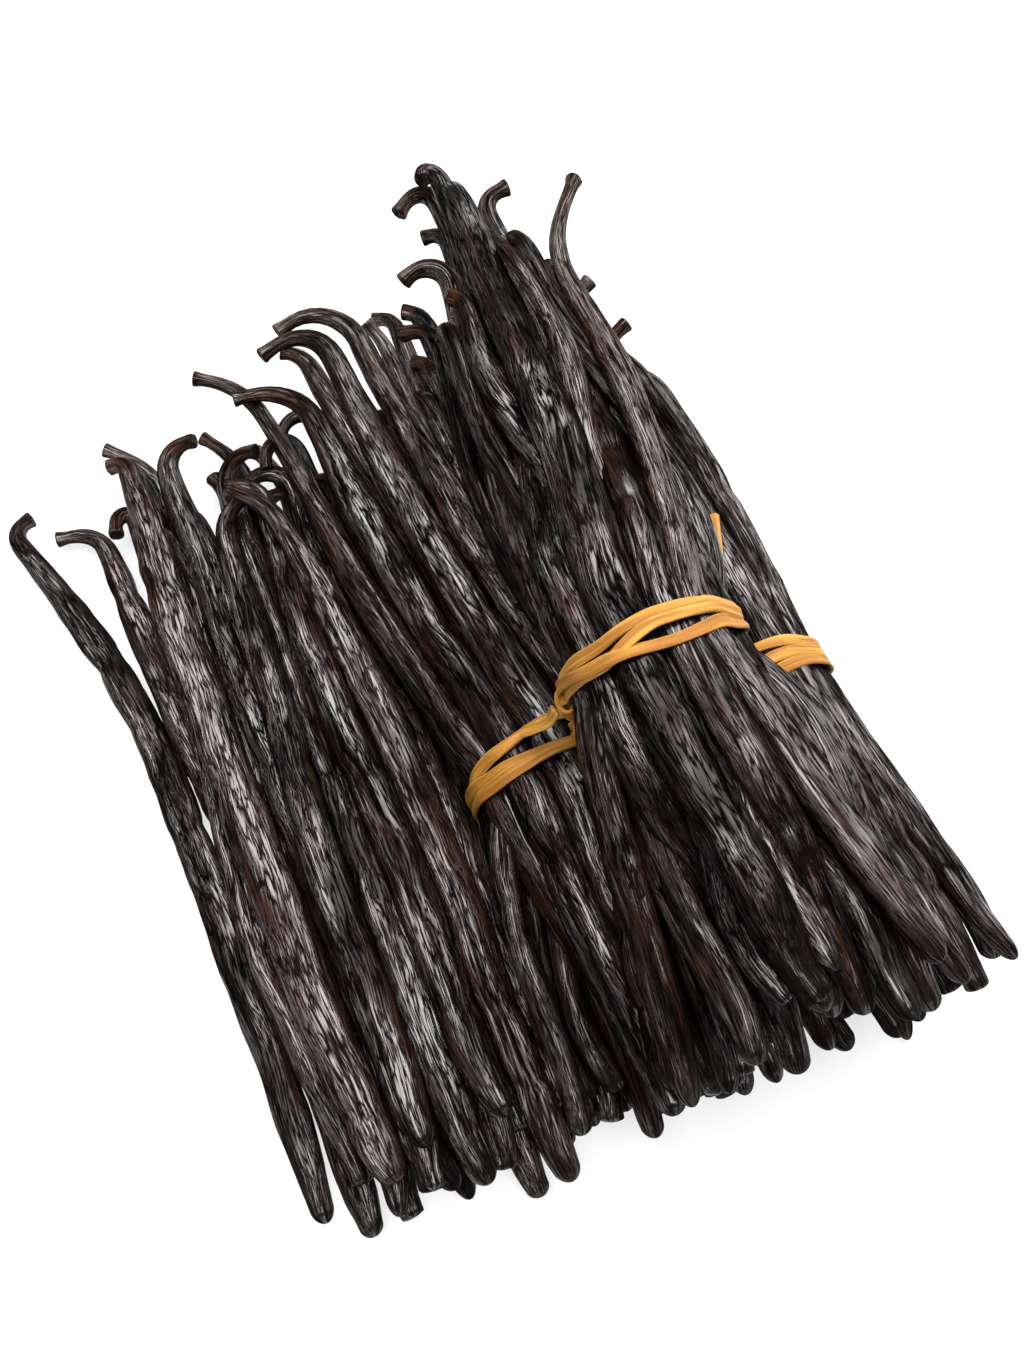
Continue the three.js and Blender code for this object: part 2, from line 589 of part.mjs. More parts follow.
function loopGeometry(bunch, offsets, extra) {
  const halfThick = TIE.halfThick + extra;
  const halfWidth = TIE.halfWidth + extra;
  const rings = [];
  for (let i = 0; i < TIE.steps; i += 1) {
    const angle = (2 * Math.PI * i) / TIE.steps;
    const middle = strandPoint(bunch, offsets, angle, TIE.halfThick - TIE.sag);
    const out = new THREE.Vector3(Math.cos(angle), 0, Math.sin(angle));
    const corner = (across, through) => middle.clone()
      .add(new THREE.Vector3(0, across * halfWidth, 0)).addScaledVector(out, through * halfThick);
    rings.push([corner(-1, -1), corner(1, -1), corner(1, TIE.outer), corner(-1, TIE.outer)]);
  }
  return closedLoop(rings);
}

function closedLoop(rings) {
  const sides = rings[0].length;
  const positions = rings.flat().flatMap((p) => [p.x, p.y, p.z]);
  const index = [];
  for (let r = 0; r < rings.length; r += 1) {
    const next = (r + 1) % rings.length;
    for (let s = 0; s < sides; s += 1) {
      const after = (s + 1) % sides;
      const [a, b] = [r * sides + s, r * sides + after];
      const [c, d] = [next * sides + s, next * sides + after];
      index.push(a, c, b, b, c, d);
    }
  }
  const geometry = new THREE.BufferGeometry();
  geometry.setAttribute("position", new THREE.Float32BufferAttribute(positions, 3));
  geometry.setIndex(index);
  return geometry;
}

function knotGeometry(bunch, knot, extra) {
  const angle = radians(knot.place);
  const at = strandPoint(bunch, [knot.y], angle, 0);
  const [along, across, out] = knot.size.map((half) => half + extra);
  return new THREE.IcosahedronGeometry(1, knot.detail).scale(out, across, along)
    .rotateY(-angle).translate(at.x, at.y, at.z);
}

function looseEndGeometry(points, extra) {
  const curve = new THREE.CatmullRomCurve3(points.map((p) => new THREE.Vector3(...p)));
  const halfThick = TIE.halfThick + extra;
  const halfWidth = TIE.halfWidth + extra;
  const corners = [[-1, -1], [-1, 1], [1, 1], [1, -1]];
  const rings = curve.getPoints(TIE.endSteps).map((point) => corners.map(([across, up]) =>
    point.clone().add(new THREE.Vector3(across * halfWidth, 0, up * halfThick))));
  return skin(rings);
}

function tieSolid(name, extra) {
  const bunch = BUNCHES[name];
  const pieces = STRANDS[name].map((offsets) => loopGeometry(bunch, offsets, extra));
  pieces.push(knotGeometry(bunch, KNOTS[name], extra));
  if (LOOSE_ENDS[name]) pieces.push(looseEndGeometry(LOOSE_ENDS[name], extra));
  return joined(pieces.map(solidOf));
}

// ---------------------------------------------------------------- the heap

// How far out in its bunch a pod lies: 0 in the middle, 1 on the outline.
function reachAt(pod, y) {
  const middle = bunchAt(BUNCHES[pod.group], y);
  const point = pathAt(pod, y);
  return Math.hypot((point.x - middle.x) / middle.halfX, (point.z - middle.z) / middle.halfZ);
}

function podGeometries(pod, extra) {
  const bunch = BUNCHES[pod.group];
  if (bunch && reachAt(pod, bunch.tie.y) < INNER.reach) {
    const within = (share) => reachAt(pod, mix(pod.foot.y, pod.neck.y, share)) < INNER.reach;
    const footTo = within(INNER.footTo) ? INNER.footTo : INNER.waist;
    const neckFrom = within(INNER.neckFrom) ? INNER.neckFrom : INNER.waist;
    return [
      podGeometry(pod, [0, footTo], 0, INNER.sides, extra),
      podGeometry(pod, [neckFrom, 1], INNER.curlRings, INNER.sides, extra),
    ];
  }
  const curlRings = clamp(Math.ceil(pod.curl.turn / radians(POD.curlStep)), 1, POD.curlMost);
  return [podGeometry(pod, POD.steps, curlRings, POD.sides, extra)];
}

function podsSolid(pods, extra) {
  const geometries = pods.flatMap((pod) => podGeometries(pod, extra));
  const bunch = BUNCHES[pods[0].group];
  if (bunch) geometries.push(waistGeometry(bunch, extra));
  return joined([...geometries, coreGeometry(pods, extra)].map(solidOf));
}

function floorSolid() {
  const slab = new THREE.BoxGeometry(FLOOR.size, FLOOR.size, FLOOR.depth);
  return solidOf(slab.translate(0, 0, REST_CUT - FLOOR.depth / 2));
}

function buildHeap() {
  const pods = [
    ...Object.entries(BUNCHES).flatMap(([name, bunch]) => fillBunch(name, bunch, OWN_PODS[name])),
    ...fillFan(OWN_PODS.fan),
  ];
  drawIn(pods);
  settle(pods);

  const tieNames = Object.keys(BUNCHES);
  const ties = joined(tieNames.map((name) => tieSolid(name, GAP)));
  const floor = floorSolid();
  const heap = new THREE.Group();
  heap.position.set(-SHIFT.x, -SHIFT.y, -REST_CUT);
  const addPart = (name, solid, look) => {
    const material = new THREE.MeshStandardMaterial({ ...look, metalness: 0 });
    const mesh = new THREE.Mesh(geometryOf(solid), material);
    mesh.name = name;
    heap.add(mesh);
  };

  let around = ties;
  const groups = { middle: "bunch_middle", right: "bunch_right", front: "bunch_front", fan: "fan_left" };
  for (const [group, name] of Object.entries(groups)) {
    const own = pods.filter((pod) => pod.group === group);
    const solid = podsSolid(own, 0).subtract(around).subtract(floor);
    addPart(name, largestPiece(solid), LOOK.pods);
    around = around.add(podsSolid(own, GAP));
  }
  let tied = null;
  for (const name of tieNames) {
    const solid = tied ? tieSolid(name, 0).subtract(tied) : tieSolid(name, 0);
    addPart(`tie_${name}`, largestPiece(solid.subtract(floor)), LOOK.raffia);
    tied = tied ? tied.add(tieSolid(name, GAP)) : tieSolid(name, GAP);
  }
  return heap;
}

export default buildHeap();
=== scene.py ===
"""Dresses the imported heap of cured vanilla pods: each pod with its wrinkles and ends, and the raffia ties."""

import math

import bpy
import numpy as np
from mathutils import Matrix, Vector


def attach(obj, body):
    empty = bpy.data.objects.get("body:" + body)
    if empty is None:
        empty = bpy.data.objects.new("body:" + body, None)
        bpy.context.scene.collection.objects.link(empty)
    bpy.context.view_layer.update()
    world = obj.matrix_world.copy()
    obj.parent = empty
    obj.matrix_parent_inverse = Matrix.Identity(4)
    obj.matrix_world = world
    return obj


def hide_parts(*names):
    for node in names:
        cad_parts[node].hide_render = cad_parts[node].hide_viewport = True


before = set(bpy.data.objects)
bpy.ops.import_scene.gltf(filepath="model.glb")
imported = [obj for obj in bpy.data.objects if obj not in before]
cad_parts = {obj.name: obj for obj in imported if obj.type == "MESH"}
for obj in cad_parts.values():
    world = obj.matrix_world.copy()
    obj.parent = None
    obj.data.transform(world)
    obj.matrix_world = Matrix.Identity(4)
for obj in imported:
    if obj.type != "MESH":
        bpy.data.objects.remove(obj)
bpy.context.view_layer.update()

bl_info = {
    "name": "Vanilla Pod Heap",
    "version": (1, 0, 0),
    "blender": (4, 5, 0),
    "location": "View3D > Sidebar > Vanilla",
    "description": "Builds the pods, the raffia ties and the studio of a heap of vanilla pods",
    "category": "Object",
}

# ---------------------------------------------------------------- the heap's layout, in millimetres

# From the layout's own zero to the point on the floor below the middle of the heap.
SHIFT = np.array([-14.2, -6.4, 0.35])
MM = 0.001

FLATNESS, FLATNESS_SPREAD = 0.68, 0.12
ROLL, WAVE, WAVE_TURN, WAVE_SHARE = 0.35, 1.2, 5.0, 0.6
NECK_RADIUS, BUTTON_RADIUS, BUTTON_LENGTH, AIM = 1.3, 1.8, 1.5, 8.0
FULLNESS = ((0, 0.55), (0.08, 0.88), (0.34, 1.0), (0.8, 0.88), (1.0, 0.58))
INNER_REACH = 0.64
RANGE = {
    "half_width": (3.8, 4.6), "foot_y": (-5, 5), "neck_y": (-18, 0), "swing": (-0.3, 0.3),
    "turn": (25, 110), "radius": (3.5, 8),
}
SUNFLOWER_ANGLE, SUNFLOWER_REACH, SPARE_SPOTS = 2.399963, 0.86, 12
STATIONS = np.array([-104.0 + 8 * k for k in range(25)])
STATION_STEP = 8.0
ROUNDS, PUSH, SHARE, PULL, WEIGHT, MAX_STEP, OWN_GIVE = 160, 0.9, 0.6, 0.03, 0.05, 0.8, 0.3
NEAR, WAIST, EDGE, GAP, TIE_THICK = 12.0, 45.0, 4.5, 0.3, 0.6

# Each bunch: its ring of raffia and how it runs from there to its feet and its stem ends.
BUNCHES = {
    "front": {
        "tie": (14.9, -29.8, 55.3), "tilt": -2.2, "ring": (17.8, 18.2),
        "feet": (16.5, -94, 46, 1.22, 1.0), "stems": (17.5, 57, 58, 0.84, 0.72), "seed": 11, "fill": 13,
        "heading": (200, 290),
    },
    "middle": {
        "tie": (-1.3, -28, 19.4), "tilt": 0, "ring": (19.6, 19.5),
        "feet": (-5, -92, 16, 1.12, 0.86), "stems": (-8, 66, 17, 1.1, 0.85), "seed": 23, "fill": 14,
        "heading": (120, 240),
    },
    "right": {
        "tie": (38.2, -28, 19.4), "tilt": 0, "ring": (18.9, 19.5),
        "feet": (38.5, -91.5, 16, 1.2, 0.86), "stems": (36, 54, 17, 0.86, 0.85), "seed": 37, "fill": 15,
        "heading": (120, 240),
    },
}

# Pods with a place of their own: foot (x, y, z), neck (x, y, z), half-width, bow, and the curl of the
# stem end (degrees turned, radius, heading, straight length), and in a bunch the place round its ring.
OWN_PODS = {
    "front": (
        (-7, -96, 34, 11, 60.2, 57, 4.5, 0, 140, 4, 182, 0.5, 166),
        (-5, -95, 30, 17.4, 82.6, 54, 3.9, 0, 120, 4.6, 200, 1.2, 190),
        (12, -100, 44, 17, 80.4, 63, 4.2, 0, 168, 1.9, 178, 1, 137),
        (17, -92, 55, 18.4, 74.2, 65.5, 5.2, 0, 150, 1.6, 262, 1, 110),
        (24, -96, 50, 21.4, 68, 62, 3.8, 0, 95, 4, 0, 2, 84),
        (31, -98, 46, 26, 52.3, 57, 3.9, 0, 40, 5, 10, 2, 40),
        (35, -92, 58, 27.6, 44, 65, 4.4, 0, 38, 26, 5, 9, 61),
        (42, -94, 45, 30.7, 46.4, 52, 4.1, 0, 70, 5, 20, 1, 12),
        (6, -94, 36, 15, 76, 52, 3.9, 0, 88, 3, 185, 1),
    ),
    "middle": (
        (-11, -98, 10, -30.5, 67, 24, 4.0, 0, 55, 16, 178, 2, 160),
        (-21, -89, 1, -26, 63.3, 14, 4.1, 0, 165, 4, 170, 1, 188),
        (-7, -96, 27, -20, 60.8, 28, 4.6, -3, 95, 10, 185, 2, 131),
        (-15, -93, 14, -19.3, 69.9, 12, 4.1, 2, 160, 4.2, 178, 1, 214),
        (-2, -95, 31, -13.4, 70.5, 33, 4.7, 0, 100, 8, 180, 2, 103),
        (4, -92, 26, -6.5, 74, 31, 4.6, 0, 105, 9.5, 170, 2, 74),
        (4, -94, 12, 3.9, 80.5, 25, 3.9, 0, 85, 2.8, 180, 1, 240),
        (8, -93.5, 1, 9.2, 79, 26, 4.4, 0, 60, 4, 180, 0, 266),
        (6, -94, 20, -19, 71.5, 29, 4.3, 2, 70, 5, 178, 1.5),
        (2, -94, 18, 0.5, 72, 24, 4.2, 0, 35, 9, 150, 3),
    ),
    "right": (
        (62, -92, 18, 49.7, 41, 26, 4.4, 0, 60, 8, 165, 1, 5),
        (58, -94, 26, 44.5, 43, 31, 4.3, 0, 40, 6, 160, 1, 33),
        (50.6, -95, 30, 41.5, 51, 30, 4.2, 0, 70, 4, 15, 2, 62),
        (54, -94.5, 1, 50, 28, 21, 4.5, 3, 62, 9, 165, 11, -24),
        (43, -96, 1, 39, 60, 8, 4.2, 0, 40, 12, 40, 2, -55),
    ),
    "fan": (
        (-67.2, -86, 4, -90, 70, 5, 4.1, 9.6, 95, 3.6, 5, 1),
        (-65.2, -94.6, 4, -72, 60.5, 5, 4.4, 2, 88, 6, 178, 3),
        (-57.5, -84, 9, -63.6, 65.2, 6, 4.5, 0, 165, 3, 170, 1),
        (-56, -89.5, 12, -61, 73.5, 13, 5.1, 0, 75, 4, 200, 1),
        (-57, -96, 4, -56.6, 68, 8, 4.2, 0, 52, 18, 170, 0),
        (-51.5, -93, 12, -54, 68.5, 15, 4.9, 0, 125, 3.6, 20, 1),
        (-46, -94, 4, -38.5, 65.5, 7, 4.2, 0, 55, 14, 175, 1),
        (-41, -93, 9, -43, 62, 6, 4.2, 0, 30, 9, 180, 1),
        (-43, -94, 15, -43, 58, 17, 4.6, 0, 135, 5.2, 30, 1),
        (-36, -95, 11, -28, 56, 13, 4.3, 0, 165, 5.2, 170, 1),
        (-34.2, -100.5, 4, -31, 60, 6, 4.1, 0, 25, 20, 170, 1),
        (-36, -84, 20, -36, 50, 21, 4.4, 0, 80, 7, 170, 1),
        (-27.8, -98.5, 13, -38, 44, 23, 4.4, 3, 50, 10, 150, 1),
        (-50, -85, 18, -46, 46, 20, 4.4, 0, 60, 8, 20, 1),
        (-23.6, -93.5, 9, -21.6, 54, 9, 5.1, 0, 40, 12, 180, 1),
    ),
}
FAN_FILL = {
    "seed": 5, "first_x": -58, "last_x": -26, "pitch": 7.6, "foot_y": -88, "neck_y": 56, "height": 10,
    "range": {
        "foot_x": (-1, 1), "foot_y": (-5, 3), "neck_x": (-3, 2), "neck_y": (-10, 8),
        "half_width": (3.9, 4.5), "turn": (30, 110), "radius": (3.5, 8), "heading": (150, 200),
    },
}

# Offsets of a tie's strands along Y at every 45 degrees round the ring, from +X over the top.
STRANDS = {
    "front": (
        (5.0, 4.6, 3.1, 0.9, 1.4, 0.5, 0.3, 2.4),
        (4.2, 3.1, 1.4, -2.4, -1.0, -0.3, -0.3, 1.9),
        (3.1, 0.7, -2.5, -2.0, 0.3, -0.8, -0.9, 1.1),
    ),
    "middle": (
        (1.0, 2.5, 3.5, 2.1, 0.2, 0, 0, 0.3),
        (-1.0, -2.6, -2.4, -1.0, 0, -0.3, -0.4, 0),
        (-1.4, -2.8, -2.7, -2.9, -2.2, -1.0, -0.9, -1.0),
    ),
    "right": (
        (0.8, 1.9, 3.0, 1.5, 0.6, 0.3, 0.3, 0.4),
        (0, -0.2, -0.2, 0.3, 0.2, -0.2, -0.3, 0),
        (-0.9, -2.1, -3.1, -1.4, -0.8, -0.9, -1.0, -0.9),
    ),
}
# Knots: place round the ring (degrees), middle along Y from the tie, and the half-length of its turns.
KNOTS = {"front": (190, -1.2, 3.0), "middle": (78, 0, 2.6), "right": (118, 0, 2.6)}
# Loose ends of raffia, as points of their middle lines.
LOOSE_ENDS = {
    "front": ((-3.2, -28.6, 51), (-4.6, -29, 47), (-6.4, -27.8, 43.4), (-8.6, -26.4, 40.7)),
    "right": ((34, -22, 38.9), (37.2, -12, 39), (40.9, -3.8, 38.5), (43.3, 3.3, 38.1)),
}

# Lights by the name of their setting: width and height in metres, and the way to them from the heap.
LIGHTS = {
    "softbox": ((2.9, 3.5), (0.1, 0.16, 0.98)),
    "side": ((2.2, 2.4), (0.84, 0.4, 0.36)),
    "front": ((2.2, 0.9), (0.1, -0.93, 0.36)),
    "window": ((0.3, 0.8), (-0.32, 0.55, 0.77)),
}
LIGHT_DISTANCE = 2.5
FLOOR_HALF, FLOOR_HEIGHT = 3.0, -0.0004
SENSOR, FOCAL = 36, 1400 / 1365    # sensor height in mm, and the focal length as a share of it

PIECES = {"middle": "bunch_middle", "right": "bunch_right", "front": "bunch_front", "fan": "fan_left"}


# ---------------------------------------------------------------- the settings that a user may change

class PodSettings(bpy.types.PropertyGroup):
    """Sizes and colours of the pods."""

    sides: bpy.props.IntProperty(
        name="Sides", description="Points round a pod that lies on the outside", default=46,
        min=12, max=64)
    inner_sides: bpy.props.IntProperty(
        name="Inner sides", description="Points round a pod that lies inside a bunch", default=26,
        min=8, max=64)
    ring_step: bpy.props.FloatProperty(
        name="Ring step", description="Distance between the rings of a pod", default=0.0021,
        min=0.0008, unit="LENGTH", precision=4)
    wrinkle: bpy.props.FloatProperty(
        name="Wrinkle depth", description="Depth of the wrinkles along the skin", default=0.00022,
        min=0, unit="LENGTH", precision=5)
    groove: bpy.props.FloatProperty(
        name="Groove depth", description="Depth of the few deep grooves", default=0.00045,
        min=0, unit="LENGTH", precision=5)
    dark: bpy.props.FloatVectorProperty(
        name="Dark skin", description="Colour of the darkest skin", default=(0.0052, 0.004, 0.0037),
        min=0, max=1, subtype="COLOR")
    brown: bpy.props.FloatVectorProperty(
        name="Brown skin", description="Colour of the red-brown skin", default=(0.026, 0.0108, 0.0074),
        min=0, max=1, subtype="COLOR")
    amber: bpy.props.FloatVectorProperty(
        name="Thin skin", description="Colour towards the thin ends and edges", default=(0.06, 0.025, 0.0125),
        min=0, max=1, subtype="COLOR")


class RaffiaSettings(bpy.types.PropertyGroup):
    """Sizes and colours of the raffia."""

    half_width: bpy.props.FloatProperty(
        name="Half width", description="Half the width of a strand", default=0.0012,
        unit="LENGTH", precision=4)
    half_thick: bpy.props.FloatProperty(
        name="Half thickness", description="Half the thickness of a strand", default=0.00042,
        unit="LENGTH", precision=5)
    gold: bpy.props.FloatVectorProperty(
        name="Gold", description="Colour of the raffia in light", default=(0.42, 0.212, 0.029),
        min=0, max=1, subtype="COLOR")
    # Ochre also colours the painted shade in the dents of the strands.
    ochre: bpy.props.FloatVectorProperty(
        name="Ochre", description="Colour of the raffia's darker fibres", default=(0.25, 0.095, 0.008),
        min=0, max=1, subtype="COLOR")


class StageSettings(bpy.types.PropertyGroup):
    """The camera's place, the floor and the lights."""

    azimuth: bpy.props.FloatProperty(
        name="Azimuth", description="Direction of the camera round the heap",
        default=math.radians(-21.5), subtype="ANGLE")
    elevation: bpy.props.FloatProperty(
        name="Elevation", description="Height of the camera over the floor", default=math.radians(66),
        subtype="ANGLE")
    distance: bpy.props.FloatProperty(
        name="Distance", description="From the camera to the heap", default=0.3, unit="LENGTH")
    softbox: bpy.props.FloatProperty(
        name="Softbox", description="Power of the large soft light", default=285, min=0, unit="POWER")
    side: bpy.props.FloatProperty(
        name="Side", description="Power of the broad low light at the right and back", default=70, min=0,
        unit="POWER")
    window: bpy.props.FloatProperty(
        name="Window", description="Power of the small bright light", default=10, min=0, unit="POWER")
    front: bpy.props.FloatProperty(
        name="Front", description="Power of the low soft light in front", default=14, min=0, unit="POWER")
    fill: bpy.props.FloatProperty(
        name="Fill", description="Strength of the light from all round", default=0.035, min=0)
    glow: bpy.props.FloatProperty(
        name="Floor glow", description="Light that comes up through the floor", default=0.66, min=0)
    floor: bpy.props.FloatVectorProperty(
        name="Floor", description="Colour of the floor", default=(0.2, 0.2, 0.202),
        min=0, max=1, subtype="COLOR")


# ---------------------------------------------------------------- small helpers

def mix(a, b, t):
    return a + (b - a) * t


def ease(t):
    return t * t * (3 - 2 * t)


def unit(v):
    return v / np.linalg.norm(v, axis=-1, keepdims=True)


def bell(x, width):
    return np.exp(-((x / width) ** 2))


def squared(wave, power):
    """A sine or cosine, pressed outwards so that the round it draws is more nearly square."""
    return np.sign(wave) * np.abs(wave) ** power


def rotated(first, second, angle):
    """Two directions at right angles, turned by an angle at each point."""
    cos, sin = np.cos(angle)[:, None], np.sin(angle)[:, None]
    return first * cos + second * sin, second * cos - first * sin


def lengths(points):
    """Distance of each point along a line from its first."""
    return np.concatenate([[0], np.cumsum(np.linalg.norm(np.diff(points, axis=0), axis=1))])


def sway(rng, s, shortest, longest):
    """A sine along s with a drawn wavelength and start."""
    return np.sin(2 * math.pi * s / rng.uniform(shortest, longest) + rng.uniform(0, ANY_START))


def spiral(rng, s, shortest, longest):
    """An angle that winds either way along s with a drawn pitch."""
    start = rng.uniform(0, 2 * math.pi)
    return start + 2 * math.pi * s / rng.choice([-1, 1]) / rng.uniform(shortest, longest)


class Draws:
    """A repeatable stream of numbers between 0 and 1."""

    def __init__(self, seed):
        self.state = seed * 7919 + 17

    def __call__(self):
        self.state = (self.state * 16807) % 2147483647
        return self.state / 2147483647

    def within(self, limits):
        return mix(limits[0], limits[1], self())


# ---------------------------------------------------------------- the pods as rows of sizes

class Pod:
    """One pod: its foot, its neck, how it is turned, and the curl of its stem end."""

    def __init__(self, group, row, draw, give=1.0):
        self.group = group
        self.foot = np.array(row[0:3], float)
        self.neck = np.array(row[3:6], float)
        self.half_width, self.bow = row[6:8]
        self.turn, self.heading = math.radians(row[8]), math.radians(row[10])
        self.radius, self.straight = row[9], row[11]
        self.place = math.radians(row[12]) if len(row) > 12 else None
        self.flatness = FLATNESS * mix(1 - FLATNESS_SPREAD, 1 + FLATNESS_SPREAD, draw())
        self.roll = mix(-ROLL, ROLL, draw())
        self.wave = mix(-WAVE, WAVE, draw())
        self.phase = draw() * 2 * math.pi
        self.give = give
        self.squeeze = np.zeros(2)
        self.path = None

    def share(self, y):
        """Share of the way from the foot to the neck."""
        return (y - self.foot[1]) / (self.neck[1] - self.foot[1])

    def rest_at(self, y):
        """x and z where the pod would lie if nothing were in its way."""
        t = self.share(y)
        arch = np.sin(math.pi * np.clip(t, 0, 1))
        held = BUNCHES[self.group]["tie"][1] if self.group in BUNCHES else 0
        squeezed = bell(y - held, WAIST)
        wave = self.wave * WAVE_SHARE * np.sin(WAVE_TURN * t + self.phase)
        x = mix(self.foot[0], self.neck[0], t) + self.bow * arch + wave + self.squeeze[0] * squeezed
        z = mix(self.foot[2], self.neck[2], t) + self.squeeze[1] * squeezed
        return np.stack([x, z], -1)

    def at(self, y):
        """Points of the settled pod's middle line at the heights y along it, smooth between stations."""
        y = np.atleast_1d(np.asarray(y, float))
        s = np.clip((y - STATIONS[0]) / STATION_STEP, 1, len(STATIONS) - 3)
        k = np.floor(s).astype(int)
        t = (s - k)[:, None]
        a, b, c, d = (self.path[k + step] for step in (-1, 0, 1, 2))
        xz = b + 0.5 * t * (c - a + t * (2 * a - 5 * b + 4 * c - d + t * (3 * (b - c) + d - a)))
        return np.stack([xz[:, 0], y, xz[:, 1]], -1)


def fullness(t):
    shares, values = (np.array(row, float) for row in zip(*FULLNESS))
    t = np.clip(t, 0, 1)
    after = np.clip(np.searchsorted(shares, t, side="right"), 1, len(shares) - 1)
    low, high = shares[after - 1], shares[after]
    return mix(values[after - 1], values[after], ease((t - low) / (high - low)))


def ring_of(bunch):
    """Middle (x, z) and half-sizes of a bunch's ring of raffia."""
    return np.array(bunch["tie"])[[0, 2]], np.array(bunch["ring"])


def bunch_at(bunch, y):
    """Middle (x, z) and half-sizes of a bunch where it crosses the plane y."""
    x, tie_y, z = bunch["tie"]
    end = bunch["feet"] if y < tie_y else bunch["stems"]
    t = min(max((y - tie_y) / (end[1] - tie_y), 0), 1.3)
    grown = t * (2 - t) * 0.4 + t * 0.6
    middle = np.array([mix(x, end[0], t), mix(z, end[2], t)])
    half = np.array([bunch["ring"][0] * mix(1, end[3], grown), bunch["ring"][1] * mix(1, end[4], grown)])
    return middle, half


def fill_bunch(name, bunch):
    """A bunch's own pods and those that fill what they leave free, on a sunflower spiral in the ring."""
    draw = Draws(bunch["seed"])
    pods = [Pod(name, row, draw, OWN_GIVE) for row in OWN_PODS[name]]
    spots = bunch["fill"] + SPARE_SPOTS
    places = [(math.sqrt((i + 0.5) / spots) * SUNFLOWER_REACH, i * SUNFLOWER_ANGLE) for i in range(spots)]
    tie, ring = ring_of(bunch)
    taken = [mix(pod.foot, pod.neck, pod.share(bunch["tie"][1]))[[0, 2]] for pod in pods]

    def free(place):
        spot = tie + place[0] * ring * np.array([math.cos(place[1]), math.sin(place[1])])
        return min(np.linalg.norm(other - spot) for other in taken)

    places.sort(key=free, reverse=True)
    for reach, angle in places[:bunch["fill"]]:
        ends = []
        for end, spread in (("feet", "foot_y"), ("stems", "neck_y")):
            y = bunch[end][1] + draw.within(RANGE[spread])
            swing = draw.within(RANGE["swing"])
            middle, half = bunch_at(bunch, y)
            x, z = middle + reach * half * np.array([math.cos(angle + swing), math.sin(angle + swing)])
            ends += [x, y, z]
        sizes = [draw.within(RANGE["half_width"]), 0]
        sizes += [draw.within(RANGE["turn"]), draw.within(RANGE["radius"]), draw.within(bunch["heading"])]
        pods.append(Pod(name, ends + sizes + [1], draw))
    return pods


def fill_fan():
    draw = Draws(FAN_FILL["seed"])
    limits = FAN_FILL["range"]
    pods = [Pod("fan", row, draw, OWN_GIVE) for row in OWN_PODS["fan"]]
    x = FAN_FILL["first_x"]
    while x <= FAN_FILL["last_x"]:
        row = [x + draw.within(limits["foot_x"]), FAN_FILL["foot_y"] + draw.within(limits["foot_y"])]
        row += [FAN_FILL["height"], x + draw.within(limits["neck_x"])]
        row += [FAN_FILL["neck_y"] + draw.within(limits["neck_y"]), FAN_FILL["height"]]
        row += [draw.within(limits["half_width"]), 0]
        row += [draw.within(limits[key]) for key in ("turn", "radius", "heading")]
        pods.append(Pod("fan", row + [1], draw))
        x += FAN_FILL["pitch"]
    return pods


def draw_in(pods):
    """In a bunch the pods are drawn in to pass through the ring, flat sides of the outer ones outwards."""
    for pod in pods:
        if pod.group not in BUNCHES:
            continue
        bunch = BUNCHES[pod.group]
        tie, ring = ring_of(bunch)
        offset = pod.rest_at(bunch["tie"][1]) - tie
        angle = math.atan2(offset[1], offset[0]) if pod.place is None else pod.place
        edge = (ring - EDGE) * np.array([math.cos(angle), math.sin(angle)])
        if pod.place is not None or np.linalg.norm(offset) > np.linalg.norm(edge):
            pod.squeeze = edge - offset
        pod.roll += angle + math.pi / 2


